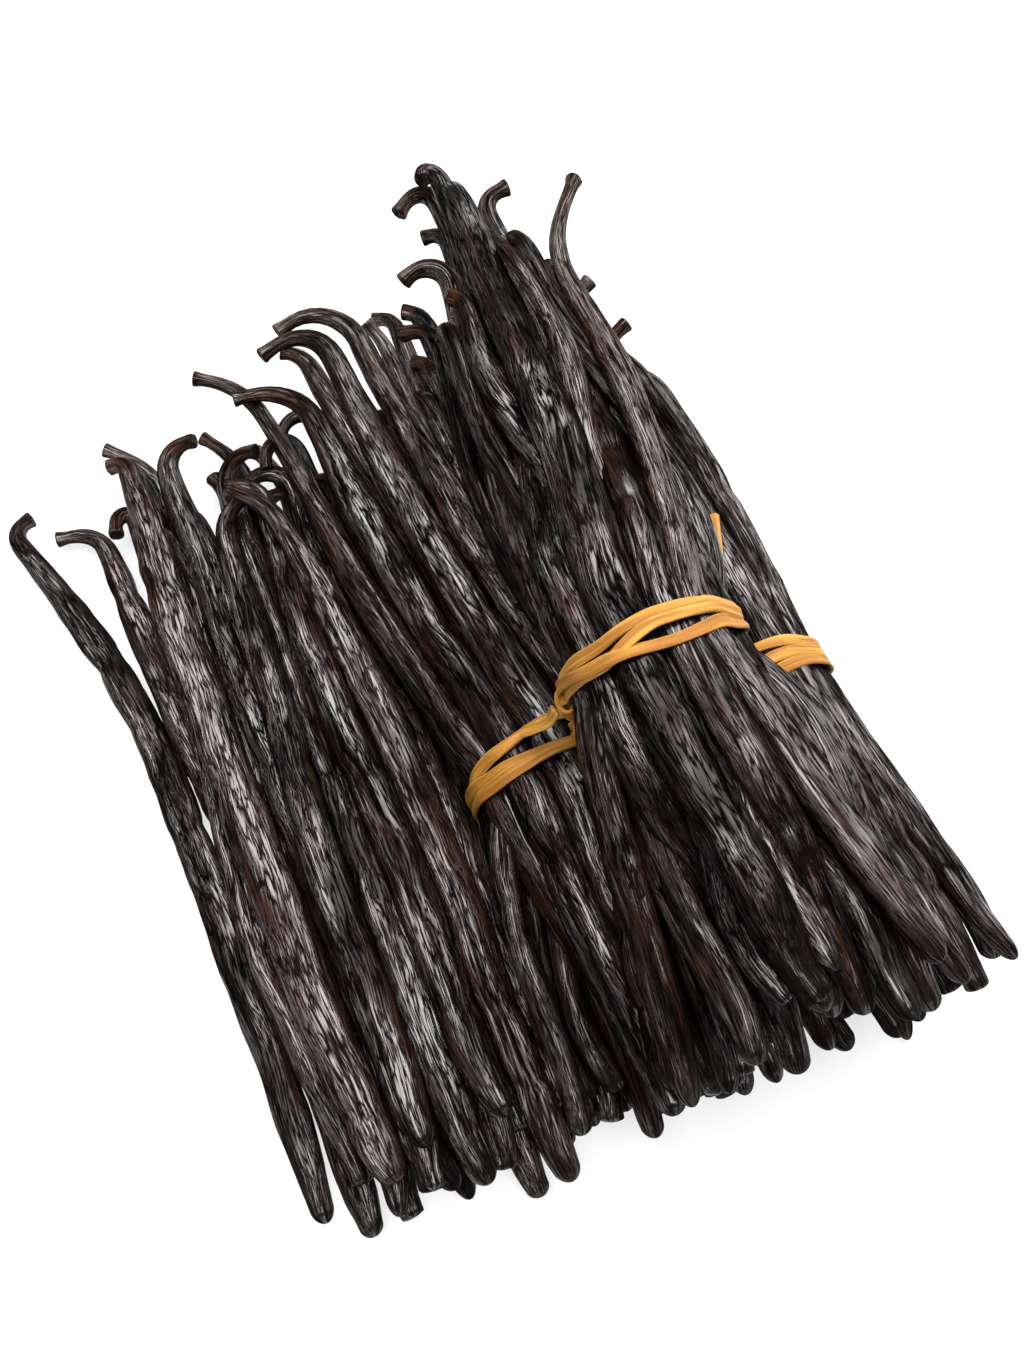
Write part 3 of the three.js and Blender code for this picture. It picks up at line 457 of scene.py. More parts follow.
def settle(pods):
    """Pushes the pods apart at each station, inside the rings and above the floor."""
    y = STATIONS
    rest = np.stack([pod.rest_at(y) for pod in pods])
    path = rest.copy()
    width = np.stack([pod.half_width * fullness(pod.share(y)) for pod in pods])
    flat = np.array([pod.flatness for pod in pods])[:, None]
    roll = np.array([pod.roll for pod in pods])[:, None]
    give = np.array([pod.give for pod in pods])
    half = STATION_STEP / 2
    present = np.stack([(y > pod.foot[1] - half) & (y < pod.neck[1] + half) for pod in pods])
    groups = np.array([pod.group for pod in pods])
    same = groups[:, None] == groups[None, :]
    loose = np.where(groups == "fan", WEIGHT, 0)[:, None]
    apart = present[:, None] & present[None, :] & ~np.eye(len(pods), dtype=bool)[:, :, None]
    extra = np.where(same, 0, 2 * GAP)[:, :, None]
    cos_roll, sin_roll = np.cos(roll), np.sin(roll)

    def reach(cos, sin, c_roll, s_roll, w, f):
        return w * np.hypot(cos * c_roll + sin * s_roll, f * (sin * c_roll - cos * s_roll))

    floor = reach(0.0, 1.0, cos_roll, sin_roll, width, flat)
    for _ in range(ROUNDS):
        delta = path[None, :] - path[:, None]
        distance = np.hypot(delta[..., 0], delta[..., 1]) + 1e-6
        cos, sin = delta[..., 0] / distance, delta[..., 1] / distance
        needed = extra + reach(cos, sin, *(each[:, None] for each in (cos_roll, sin_roll, width, flat)))
        needed = needed + reach(cos, sin, *(each[None] for each in (cos_roll, sin_roll, width, flat)))
        move = np.where(apart & (distance <= NEAR), np.maximum(0, needed - distance), 0) * PUSH / distance
        move /= (give[:, None] + give[None, :])[:, :, None]
        shift = -give[:, None, None] * (delta * move[..., None]).sum(1)
        step = np.linalg.norm(shift, axis=-1, keepdims=True)
        shift *= np.minimum(1, MAX_STEP / np.maximum(step, 1e-9))
        path = path + shift + (rest - path) * PULL
        path[..., 1] -= loose
        moved = path - rest
        before = np.concatenate([moved[:, :1], moved[:, :-1]], 1)
        after = np.concatenate([moved[:, 1:], moved[:, -1:]], 1)
        path = rest + mix(moved, (before + after) / 2, SHARE)
        for name, bunch in BUNCHES.items():
            tie, ring = ring_of(bunch)
            near = np.abs(y - bunch["tie"][1]) <= STATION_STEP
            offset = path - tie
            angle = np.arctan2(offset[..., 1], offset[..., 0])
            thick = reach(np.cos(angle), np.sin(angle), cos_roll, sin_roll, width, flat)
            own = (groups == name)[:, None]
            held = thick + np.where(own, 2 * TIE_THICK + GAP / 2, 2 * GAP)
            size = np.where(own[..., None], ring - held[..., None], ring + held[..., None])
            out = np.hypot(offset[..., 0] / size[..., 0], offset[..., 1] / size[..., 1])
            wrong = near & np.where(own, out > 1, out < 1)
            path = np.where(wrong[..., None], tie + offset / out[..., None], path)
        path[..., 1] = np.maximum(path[..., 1], floor)
    for pod, points in zip(pods, path):
        pod.path = points


def lay_out():
    """The pods of the whole heap, settled."""
    pods = [pod for name, bunch in BUNCHES.items() for pod in fill_bunch(name, bunch)] + fill_fan()
    draw_in(pods)
    settle(pods)
    return pods


def reach_at(pod, y):
    """How far out in its bunch a pod lies: 0 in the middle, 1 on the outline."""
    middle, half = bunch_at(BUNCHES[pod.group], y)
    return np.linalg.norm((pod.at(y)[0, [0, 2]] - middle) / half)


# ---------------------------------------------------------------- meshes from grids of points

class Skin:
    """Collects closed strips of rings, with their grain, tone and flat map, into one mesh."""

    def __init__(self, columns, rows):
        self.points, self.faces, self.flat = [], [], []
        self.layers = {"grain": [], "tone": [], "ends": []}
        self.columns, self.rows = columns, rows
        self.count = self.strips = 0

    def add(self, rings, grain, tone, ends, hollow=(0.0, 0.0)):
        """rings: (rings, sides, 3) in mm; the ends are closed with a fan round a point set in by hollow."""
        many, sides = rings.shape[:2]
        start = self.count
        for points, inner, deep in ((rings[0], rings[1], hollow[0]), (rings[-1], rings[-2], hollow[1])):
            outward = unit(points.mean(0) - inner.mean(0))
            self.points.append((points.mean(0) - outward * deep)[None])
        self.points.insert(-2, rings.reshape(-1, 3))
        grids = {"grain": grain, "tone": tone, "ends": ends}
        for key, values in grids.items():
            self.layers[key] += [values.reshape(-1, 3), values[0].mean(0)[None], values[-1].mean(0)[None]]
        self.count += many * sides + 2

        column, row = self.strips % self.columns, self.strips // self.columns
        self.strips += 1
        left, low = (column + 0.04) / self.columns, (row + 0.02) / self.rows
        wide, tall = 0.92 / self.columns, 0.96 / self.rows
        across = left + wide * np.arange(sides + 1) / sides
        run = np.linalg.norm(np.diff(rings.mean(1), axis=0), axis=1)
        along = np.concatenate([[0], np.cumsum(run)]) / max(run.sum(), 1e-9)
        along = low + tall * (0.01 + 0.98 * along)

        s = np.arange(sides)
        after = (s + 1) % sides
        for r in range(many - 1):
            a, b = start + r * sides + s, start + r * sides + after
            self.faces.append(np.stack([a, b, b + sides, a + sides], -1))
            u0, u1 = across[:-1], across[1:]
            v0, v1 = np.full(sides, along[r]), np.full(sides, along[r + 1])
            self.flat.append(np.stack([u0, v0, u1, v0, u1, v1, u0, v1], -1).reshape(-1, 2))
        top = start + (many - 1) * sides
        foot, tip = start + many * sides, start + many * sides + 1
        middle = (across[:-1] + across[1:]) / 2
        for first, second, third, v, edge in (
                (np.full(sides, foot), start + after, start + s, along[0], low),
                (np.full(sides, tip), top + s, top + after, along[-1], low + tall)):
            self.faces.append(np.stack([first, second, third], -1))
            u1, u2 = (across[1:], across[:-1]) if edge == low else (across[:-1], across[1:])
            flat_v = np.full(sides, v)
            corners = np.stack([middle, np.full(sides, edge), u1, flat_v, u2, flat_v], -1)
            self.flat.append(corners.reshape(-1, 2))

    def build(self, name, material):
        """The mesh object, in metres and in the frame's own place."""
        points = np.concatenate(self.points) - SHIFT
        points[:, 2] = np.maximum(points[:, 2], 0.0)
        mesh = bpy.data.meshes.new(name)
        mesh.from_pydata((points * MM).tolist(), [], [face for grid in self.faces for face in grid.tolist()])
        for key, values in self.layers.items():
            layer = mesh.attributes.new(key, "FLOAT_VECTOR", "POINT")
            layer.data.foreach_set("vector", np.concatenate(values).astype(np.float32).ravel())
        flat = mesh.uv_layers.new(name="OFBake")
        flat.data.foreach_set("uv", np.concatenate(self.flat).astype(np.float32).ravel())
        mesh.shade_smooth()
        mesh.materials.append(material)
        obj = bpy.data.objects.new(name, mesh)
        bpy.context.scene.collection.objects.link(obj)
        return obj


def carried(points, first_way):
    """Wide and thick directions at each point of a line, carried from the first without twist."""
    along = unit(np.gradient(points, axis=0))
    wide = np.empty_like(along)
    way = first_way
    for i, direction in enumerate(along):
        way = way - direction * way.dot(direction)
        way = way / np.linalg.norm(way)
        wide[i] = way
    return wide, np.cross(along, wide)


def smoothed(values, width):
    """A row of values, evened out over a number of its places."""
    weights = bell(np.arange(-2 * width, 2 * width + 1), width)
    sides = ((2 * width, 2 * width),) + ((0, 0),) * (values.ndim - 1)
    padded = np.pad(values, sides, mode="reflect", reflect_type="odd")
    rows = padded.reshape(len(padded), -1).T
    out = np.stack([np.convolve(row, weights / weights.sum(), mode="valid") for row in rows], -1)
    return out.reshape(values.shape)


# ---------------------------------------------------------------- a pod with its wrinkled skin

FINE = 0.25          # spacing of the points from which a pod's middle line is read
GRAIN_RADIUS = 3.6   # radius at which the grain wraps round a pod
GRAIN_APART = 37.0   # how far apart two pods lie in the grain
POD_SQUARE = 2 / 2.5
ANY_START = 6.3      # a full turn, from which a wave's start is drawn
CURL_WAVE = 33       # length over which a strand's edges curl one way and the other
STRAND_SIDES = 18
FOOT_LENGTH, STEM_LENGTH = 14, 30      # how far from its ends a pod is pleated, and round
BURIED_FROM, BURIED_TO = 55, 65        # a pod inside a bunch has few rings between these, from its ends
BURIED_STEP, CREASE_STEP, CREASE_REACH = 5.0, 0.7, 1.6
LOOSENESS, KINK, KINK_REACH = 0.28, 0.75, 9
FLUTES, WRINKLE_WAVES, GROOVES = (2, 3, 4, 5), 6, 4
VALLEY_WIDTH, GROOVE_WIDTH, CREASE_WIDTH = 0.55, 0.17, 0.6


def middle_line(pod, rng, creases):
    """Points, half-widths and share of the body along a pod, every FINE mm from foot to stem end."""
    y = np.arange(pod.foot[1], pod.neck[1], FINE)
    body = pod.at(y)
    neck = pod.at(pod.neck[1])[0]
    ahead = unit(neck - pod.at(pod.neck[1] - AIM)[0])
    aside = np.array([math.cos(pod.heading), 0, math.sin(pod.heading)])
    aside = unit(aside - ahead * aside.dot(ahead))
    angle = np.linspace(0, pod.turn, max(3, int(pod.turn * pod.radius / FINE)))[:, None]
    curl = neck + ahead * pod.radius * np.sin(angle) + aside * pod.radius * (1 - np.cos(angle))
    leaving = ahead * math.cos(pod.turn) + aside * math.sin(pod.turn)
    rest = np.arange(FINE, pod.straight + BUTTON_LENGTH + FINE / 2, FINE)[:, None]
    points = np.concatenate([body, curl, curl[-1] + leaving * rest])

    share = np.clip(pod.share(np.concatenate([y, np.full(len(curl) + len(rest), pod.neck[1])])), 0, 1)
    half = pod.half_width * fullness(share)
    bend = np.clip(np.arange(1, len(curl) + len(rest) + 1) / len(curl), 0, 1)
    half[len(body):] = mix(pod.half_width * fullness(1.0), NECK_RADIUS, bend)
    beyond = np.concatenate([np.zeros(len(body)), bend])

    points[:, 2] = np.maximum(points[:, 2], half + 0.05)
    points = smoothed(points, 10)
    half = smoothed(half, 24)
    length = lengths(points)
    loose = smoothed(rng.normal(0, 1, (len(points), 3)), 40)
    loose *= LOOSENESS / loose.std()
    for place, _, strength in creases:
        side = rng.normal(0, 1, 3) * (1, 0.2, 0.7)
        loose += unit(side) * (KINK * strength * np.exp(-np.abs(length - place) / KINK_REACH))[:, None]
    held = bell(points[:, 1] - BUNCHES[pod.group]["tie"][1], 12)[:, None] if pod.group in BUNCHES else 0
    points = points + loose * (1 - held)
    return points, half, beyond, length


def ring_places(length, step):
    """Places of the rings along a pod, where step gives their distance at each of the fine places."""
    many = np.concatenate([[0], np.cumsum(np.diff(length) / step[1:])])
    return np.interp(np.linspace(0, many[-1], int(many[-1]) + 2), many, length)


def relief(rng, theta, s, radius, wrinkle, groove, creases):
    """How far the skin sinks at each ring and side, in mm, and how deep in a crease it is (0 to 1)."""
    theta, s = theta[None, :], s[:, None]
    flutes = np.zeros((s.shape[0], theta.shape[1]))
    for lobes in FLUTES:
        turn = spiral(rng, s, 120, 260)
        flutes += rng.uniform(0.03, 0.08) * (1 + np.cos(lobes * theta + turn)) * 1.6 / lobes ** 0.5
    field = np.zeros_like(flutes)
    for _ in range(WRINKLE_WAVES):
        lobes = rng.integers(5, 13)
        turn = spiral(rng, s, 60, 200)
        turn = turn + rng.uniform(0.5, 1.3) * sway(rng, s, 14, 34)
        field += np.cos(lobes * theta + turn) * rng.uniform(0.6, 1.1)
    valleys = np.exp(-np.abs(field) / VALLEY_WIDTH)
    deep = np.zeros_like(flutes)
    for _ in range(GROOVES):
        middle = rng.uniform(0, 2 * math.pi) + 0.3 * sway(rng, s, 50, 110)
        away = np.angle(np.exp(1j * (theta - middle)))
        runs = np.clip(0.5 + 0.9 * sway(rng, s, 60, 150), 0, 1)
        deep = np.maximum(deep, runs * bell(away, GROOVE_WIDTH))
    across = np.zeros_like(flutes)
    for place, side, strength in creases:
        line = place + 0.8 * np.sin(theta - side)
        facing = 0.5 + 0.5 * np.cos(theta - side)
        across = np.maximum(across, strength * bell(s - line, CREASE_WIDTH) * facing)
    share = np.clip(radius[:, None] / 4.2, 0.1, 1.1)
    sink = (flutes + wrinkle * valleys + groove * deep) * share + 0.3 * across * share
    return sink, np.clip(0.55 * valleys + 0.9 * deep + 0.7 * across, 0, 1)


FEET = ("round", "stub", "round", "tapered", "round", "stub", "round")


def end_rings(kind):
    """Places (mm from the end) and widths (share) of the rings that close an end."""
    if kind == "cut":
        return np.array([0.0, 0.12, 0.4, 0.8, 1.3]), np.array([0.80, 0.95, 1.0, 1.0, 1.0])
    long = {"round": 2.4, "stub": 0.8, "tapered": 3.0}[kind]
    turn = np.radians([8, 20, 34, 48, 63, 78])
    return long * (1 - np.cos(turn)), np.sin(turn)


def add_pod(skin, pod, number, settings):
    """Adds one pod's mesh to the skin of its group."""
    rng = np.random.default_rng(1000 + number)
    body = pod.neck[1] - pod.foot[1]
    creases = [(rng.uniform(14, body - 6), rng.uniform(0, 2 * math.pi), rng.uniform(0.5, 1.0))
               for _ in range(rng.integers(2, 5))]
    points, half, beyond, length = middle_line(pod, rng, creases)
    whole = length[-1]
    outer = pod.group not in BUNCHES or reach_at(pod, BUNCHES[pod.group]["tie"][1]) >= INNER_REACH
    sides = settings.sides if outer else settings.inner_sides

    step = np.full(len(length), settings.ring_step / MM)
    if not outer:
        step[(length > BURIED_FROM) & (length < whole - BURIED_TO)] = BURIED_STEP
    for place, _, _ in creases:
        step[np.abs(length - place) < CREASE_REACH] = CREASE_STEP
    step = np.where(beyond > 0, np.clip(pod.radius * 0.22, CREASE_STEP, step), step)
    kind = FEET[rng.integers(len(FEET))]
    foot_places, foot_widths = end_rings(kind)
    stem_places, stem_widths = end_rings("cut")
    inside = ring_places(length, smoothed(step, 6))
    inside = inside[(inside > foot_places[-1] + 0.5) & (inside < whole - stem_places[-1] - 0.5)]
    s = np.concatenate([foot_places, inside, whole - stem_places[::-1]])
    close = np.ones(len(s))
    close[:len(foot_places)] = foot_widths
    close[-len(stem_places):] = stem_widths[::-1]

    centre = np.stack([np.interp(s, length, points[:, axis]) for axis in range(3)], -1)
    radius = np.interp(s, length, half)
    stem = np.interp(s, length, beyond)
    foot_near = ease(np.clip(1 - s / FOOT_LENGTH, 0, 1))
    stem_near = ease(np.clip(1 - (whole - s) / STEM_LENGTH, 0, 1))
    if kind == "stub":
        radius = radius * (1 - 0.08 * bell(s - 4, 2.2) + 0.05 * bell(s, 1.0))
    elif kind == "tapered":
        radius = radius * mix(1, 0.8, ease(np.clip(1 - s / 8, 0, 1)))
    knobs = np.arange(0, whole + 4, 4)
    swell = np.interp(s, knobs, rng.uniform(-1, 1, len(knobs)))
    radius = radius * (1 + 0.05 * swell * (1 - stem))
    for place, _, strength in creases:
        radius = radius * (1 - 0.11 * strength * bell(s - place, 2.2))
    radius = radius + (BUTTON_RADIUS - NECK_RADIUS) * bell(whole - s, 1.6)
    if outer and pod.group in BUNCHES:
        radius = radius * (1 - 0.06 * bell(centre[:, 1] - BUNCHES[pod.group]["tie"][1], 3.5))

    first = np.array([math.cos(pod.roll), 0, math.sin(pod.roll)])
    wide, thick = carried(centre, first)
    twist = 0.25 * sway(rng, s, 90, 160)
    wide, thick = rotated(wide, thick, twist)
    flat = mix(pod.flatness, 0.93, np.maximum(foot_near ** 2 * 0.9, stem_near))

    facing = math.pi / 2 if pod.group in BUNCHES else -math.pi / 2
    theta = 2 * math.pi * np.arange(sides) / sides
    theta = facing + theta - (0.45 * np.sin(theta) if outer else 0)
    sink, crease = relief(rng, theta, s, radius, settings.wrinkle / MM, settings.groove / MM, creases)
    wave = rng.integers(5, 8) * theta[None, :] + 0.1 * s[:, None] + rng.uniform(0, ANY_START)
    pleats = 0.5 + 0.5 * np.cos(wave)
    sink += 0.34 * (foot_near ** 2)[:, None] * pleats ** 2
    cos, sin = squared(np.cos(theta), POD_SQUARE), squared(np.sin(theta), POD_SQUARE)
    u, v = radius[:, None] * cos, (radius * flat)[:, None] * sin
    size = np.hypot(u, v)
    scale = close[:, None] * (size - sink) / size
    rings = centre[:, None] + wide[:, None] * (u * scale)[..., None] + thick[:, None] * (v * scale)[..., None]

    offset = number * GRAIN_APART
    grain = np.stack(np.broadcast_arrays(
        GRAIN_RADIUS * np.cos(theta)[None, :], GRAIN_RADIUS * np.sin(theta)[None, :],
        (s + offset)[:, None]), -1)
    shade = np.full(sink.shape, rng.uniform(0, 1))
    # The tone's middle value, the crease depth, also darkens the skin colour in the shader as painted shade.
    tone = np.stack([shade, crease, np.broadcast_to(stem[:, None], sink.shape)], -1)
    ends = np.stack(np.broadcast_arrays(
        foot_near[:, None], np.clip(1 - (whole - s) / 1.1, 0, 1)[:, None], shade * 0), -1)
    skin.add(rings, grain, tone, ends, hollow=(0.12, 0.55))


# ---------------------------------------------------------------- strands of raffia

def hull_reach(pods, tie, angles, y):
    """Distance from the tie's middle to the tight outline of its pods at y, at each angle."""
    corners = []
    ring = np.linspace(0, 2 * math.pi, 24, endpoint=False)
    for pod in pods:
        w = pod.half_width * fullness(pod.share(y)) * 0.95
        x, z = pod.at(y)[0, [0, 2]]
        u, v = w * np.cos(ring), w * pod.flatness * np.sin(ring)
        c, s = math.cos(pod.roll), math.sin(pod.roll)
        corners.append(np.stack([x + u * c - v * s - tie[0], z + u * s + v * c - tie[2]], -1))
    corners = np.concatenate(corners)
    ways = np.linspace(0, 2 * math.pi, 120, endpoint=False)
    support = (corners @ np.stack([np.cos(ways), np.sin(ways)])).max(0)
    turned = np.cos(ways[None, :] - np.asarray(angles)[:, None])
    return np.where(turned > 0.2, support[None, :] / np.maximum(turned, 0.2), np.inf).min(1)


def ribbon_section(many):
    """Across and out, from -1 to 1, round a folded flat strand."""
    angle = 2 * math.pi * np.arange(many) / many
    return squared(np.cos(angle), 0.75), squared(np.sin(angle), 0.7)


def add_ribbon(skin, points, outward, settings, rng, width=1.0):
    """Adds a strand along the points; outward is the side that its face looks to."""
    along = unit(np.gradient(points, axis=0))
    out = unit(outward - along * (outward * along).sum(-1, keepdims=True))
    side = np.cross(along, out)
    s = lengths(points)
    lean = 0.35 * sway(rng, s, 22, 40)
    side, out = rotated(side, out, lean)
    pulled = 0.5 + 0.5 * sway(rng, s, 16, 30)
    half = settings.half_width / MM * width * mix(0.84, 1.06, pulled)
    thick = settings.half_thick / MM * mix(1.25, 0.9, pulled)
    ends = np.minimum(1, np.minimum(s + 0.15, s[-1] - s + 0.15) / 0.5) ** 0.5
    across, rise = ribbon_section(STRAND_SIDES)
    ridge = np.zeros((len(s), STRAND_SIDES))
    for _ in range(5):
        middle = rng.uniform(-0.85, 0.85) + 0.16 * sway(rng, s, 15, 40)
        deep = rng.uniform(0.05, 0.16) * np.clip(0.4 + sway(rng, s, 20, 50), 0, 1)
        ridge += deep[:, None] * bell(across[None, :] - middle[:, None], 0.13)
    start = rng.uniform(0, ANY_START)
    curl = 0.16 * (across ** 2)[None, :] * np.sin(2 * math.pi * s / CURL_WAVE + start)[:, None]
    u = half[:, None] * across[None, :] * ends[:, None]
    v = thick[:, None] * rise[None, :] * ends[:, None] - np.sign(rise)[None, :] * ridge + curl
    rings = points[:, None] + side[:, None] * u[..., None] + out[:, None] * v[..., None]
    rings = rings[:, ::-1]
    offset = rng.uniform(0, 500)
    grain = np.stack(np.broadcast_arrays(
        u + offset, v + 9 * np.sign(rise)[None, :], s[:, None] + offset), -1)[:, ::-1]
    shade = np.full(u.shape, rng.uniform(0, 1))
    # The tone's middle value, the depth of the strand's dents, darkens the raffia colour in the shader as
    # painted shade.
    tone = np.stack([shade, np.clip(ridge * 7, 0, 1), shade * 0], -1)[:, ::-1]
    skin.add(rings, grain, tone, tone * 0)


def strand_offsets(values, angles):
    """A strand's offset along Y, smooth between its places at every 45 degrees."""
    s = (angles / (2 * math.pi)) * len(values)
    k = np.floor(s).astype(int)
    row = np.array(values, float)
    return mix(row[k % len(values)], row[(k + 1) % len(values)], ease(s - k))


def add_tie(skin, name, pods, settings):
    """The loops, the knot and the loose end of one bunch's raffia."""
    bunch = BUNCHES[name]
    tie = np.array(bunch["tie"], float)
    own = [pod for pod in pods if pod.group == name]
    place, knot_y, knot_half = KNOTS[name]
    start = math.radians(place)
    angles = start + np.radians(np.linspace(-4, 364, 150))
    reach = hull_reach(own, tie, angles, tie[1])
    shifted = [np.interp(angles + t, angles, reach, period=2 * math.pi) for t in (-0.08, 0, 0.08)]
    reach = np.stack(shifted).mean(0)
    radial = np.stack([np.cos(angles), np.zeros_like(angles), np.sin(angles)], -1)
    lying = []
    for number, offsets in enumerate(STRANDS[name]):
        rng = np.random.default_rng(70 + bunch["seed"] * 10 + number)
        y = strand_offsets(offsets, angles)
        below = sum((bell(y - other, 1.9) for other in lying), np.zeros_like(y))
        out = reach + 0.3 + 0.62 * below
        points = tie + radial * out[:, None]
        points[:, 1] += bunch["tilt"] * np.cos(angles) + y
        points[:, 2] = np.maximum(points[:, 2], SHIFT[2] + 0.45)
        add_ribbon(skin, points, radial, settings, rng)
        lying.append(y)

    rng = np.random.default_rng(300 + bunch["seed"])
    way = np.array([math.cos(start), 0, math.sin(start)])
    round_way = np.array([-math.sin(start), 0, math.cos(start)])
    lengthways = np.array([0.0, 1.0, 0.0])
    middle = tie + way * (hull_reach(own, tie, [start], tie[1])[0] + 0.9)
    middle[1] += bunch["tilt"] * math.cos(start) + knot_y
    for lean, size, shift in ((0.5, 1.0, -0.6), (-0.45, 0.92, 0.7), (1.5, 0.75, 0.0)):
        over = lengthways * math.cos(lean) + round_way * math.sin(lean)
        turn = np.linspace(-0.4, 2 * math.pi - 0.1, 34)[:, None]
        deep = 1.15 * size
        ring = middle + round_way * shift + over * knot_half * size * np.cos(turn) + way * deep * np.sin(turn)
        facing = over * np.cos(turn) + way * np.sin(turn) * knot_half / deep
        add_ribbon(skin, ring, facing, settings, rng, width=0.8)
    if name in LOOSE_ENDS:
        line = np.array(LOOSE_ENDS[name], float)
        t = np.linspace(0, len(line) - 1, 40)
        points = np.stack([np.interp(t, range(len(line)), line[:, axis]) for axis in range(3)], -1)
        up = np.tile([0.0, 0.0, 1.0], (len(t), 1))
        add_ribbon(skin, smoothed(points, 5), up, settings, rng, width=1.15)


# ---------------------------------------------------------------- shaders

class Signal:
    """A socket of a shader; sums and products of signals add their Math nodes."""

    def __init__(self, socket):
        self.socket = socket

    def _math(self, operation, *values):
        return node(self.socket.id_data, "ShaderNodeMath", {"operation": operation}, dict(enumerate(values)))

    def __abs__(self):
        return self._math("ABSOLUTE", self)

    def __add__(self, other):
        return self._math("ADD", self, other)

    def __radd__(self, other):
        return self._math("ADD", other, self)

    def __sub__(self, other):
        return self._math("SUBTRACT", self, other)

    def __rsub__(self, other):
        return self._math("SUBTRACT", other, self)

    def __mul__(self, other):
        return self._math("MULTIPLY", self, other)

    def __rmul__(self, other):
        return self._math("MULTIPLY", other, self)


def node(tree, kind, settings=None, inputs=None, output=0):
    """Adds a node with its settings, then its inputs as values or signals, and gives one output."""
    new = tree.nodes.new(kind)
    for key, value in (settings or {}).items():
        if key == "stops":
            ramp = new.color_ramp
            for place, colour in value[1:-1]:
                ramp.elements.new(place)
            for element, (place, colour) in zip(ramp.elements, value):
                element.position, element.color = place, colour
        else:
            setattr(new, key, value)
    for key, value in (inputs or {}).items():
        if isinstance(value, Signal):
            tree.links.new(value.socket, new.inputs[key])
        else:
            new.inputs[key].default_value = value
    return Signal(new.outputs[output])


class Finish:
    """A material under work: the ways its textures, masks and colours are made."""

    def __init__(self, name):
        self.material = bpy.data.materials.new(name)
        self.material.use_nodes = True
        self.tree = self.material.node_tree
        self.tree.nodes.clear()

    def add(self, kind, settings=None, inputs=None, output=0):
        return node(self.tree, kind, settings, inputs, output)

    def layer(self, name):
        source = {"attribute_type": "GEOMETRY", "attribute_name": name}
        return self.add("ShaderNodeAttribute", source, output="Vector")

    def part(self, vector, axis):
        return self.add("ShaderNodeSeparateXYZ", None, {0: vector}, axis)

    def stretched(self, vector, sizes):
        """The vector in units of the sizes, so that a texture's cells have those sizes in mm."""
        per_size = [1 / size for size in sizes]
        return self.add("ShaderNodeVectorMath", {"operation": "MULTIPLY"}, {0: vector, 1: per_size})

    def noise(self, vector, detail=2.0, roughness=0.5):
        return self.add("ShaderNodeTexNoise", None, {
            "Vector": vector, "Scale": 1.0, "Detail": detail, "Roughness": roughness})

    def warped(self, vector, sizes, amount):
        """The vector pushed about by a noise of the given cell sizes."""
        push = self.add("ShaderNodeTexNoise", None, {
            "Vector": self.stretched(vector, sizes), "Scale": 1.0, "Detail": 1.0}, "Color")
        centred = self.add("ShaderNodeVectorMath", {"operation": "SUBTRACT"}, {0: push, 1: (0.5, 0.5, 0.5)})
        scaled = self.add("ShaderNodeVectorMath", {"operation": "MULTIPLY"}, {0: centred, 1: amount})
        return self.add("ShaderNodeVectorMath", {"operation": "ADD"}, {0: vector, 1: scaled})

    def ranged(self, value, low, high, start=0.0, end=1.0):
        """The value, with low to high turned smoothly into start to end."""
        return self.add("ShaderNodeMapRange", {"interpolation_type": "SMOOTHSTEP"}, {
            "Value": value, "From Min": low, "From Max": high, "To Min": start, "To Max": end})

    def blend(self, factor, first, second, mode="MIX"):
        return self.add("ShaderNodeMix", {"data_type": "RGBA", "blend_type": mode}, {
            0: factor, 6: first, 7: second}, 2)

    def finish(self, colour, roughness, height, depth, oily=None, **constants):
        """Puts the parts together in a Principled shader; where oily is 0 its shine is left out."""
        bump = self.add("ShaderNodeBump", None, {"Strength": 1.0, "Distance": depth, "Height": height})
        shader = self.add("ShaderNodeBsdfPrincipled", None, {
            "Base Color": colour, "Roughness": roughness, "Normal": bump, **constants})
        if oily is not None:
            dull = self.add("ShaderNodeBsdfPrincipled", None, {
                "Base Color": colour, "Roughness": 0.8, "Normal": bump, "Specular IOR Level": 0.0})
            shader = self.add("ShaderNodeMixShader", None, {0: oily, 1: dull, 2: shader})
        self.add_output(shader)
        return self.material

    def add_output(self, shader):
        out = self.tree.nodes.new("ShaderNodeOutputMaterial")
        self.tree.links.new(shader.socket, out.inputs["Surface"])


def rgba(colour, by=1.0):
    return (colour[0] * by, colour[1] * by, colour[2] * by, 1.0)


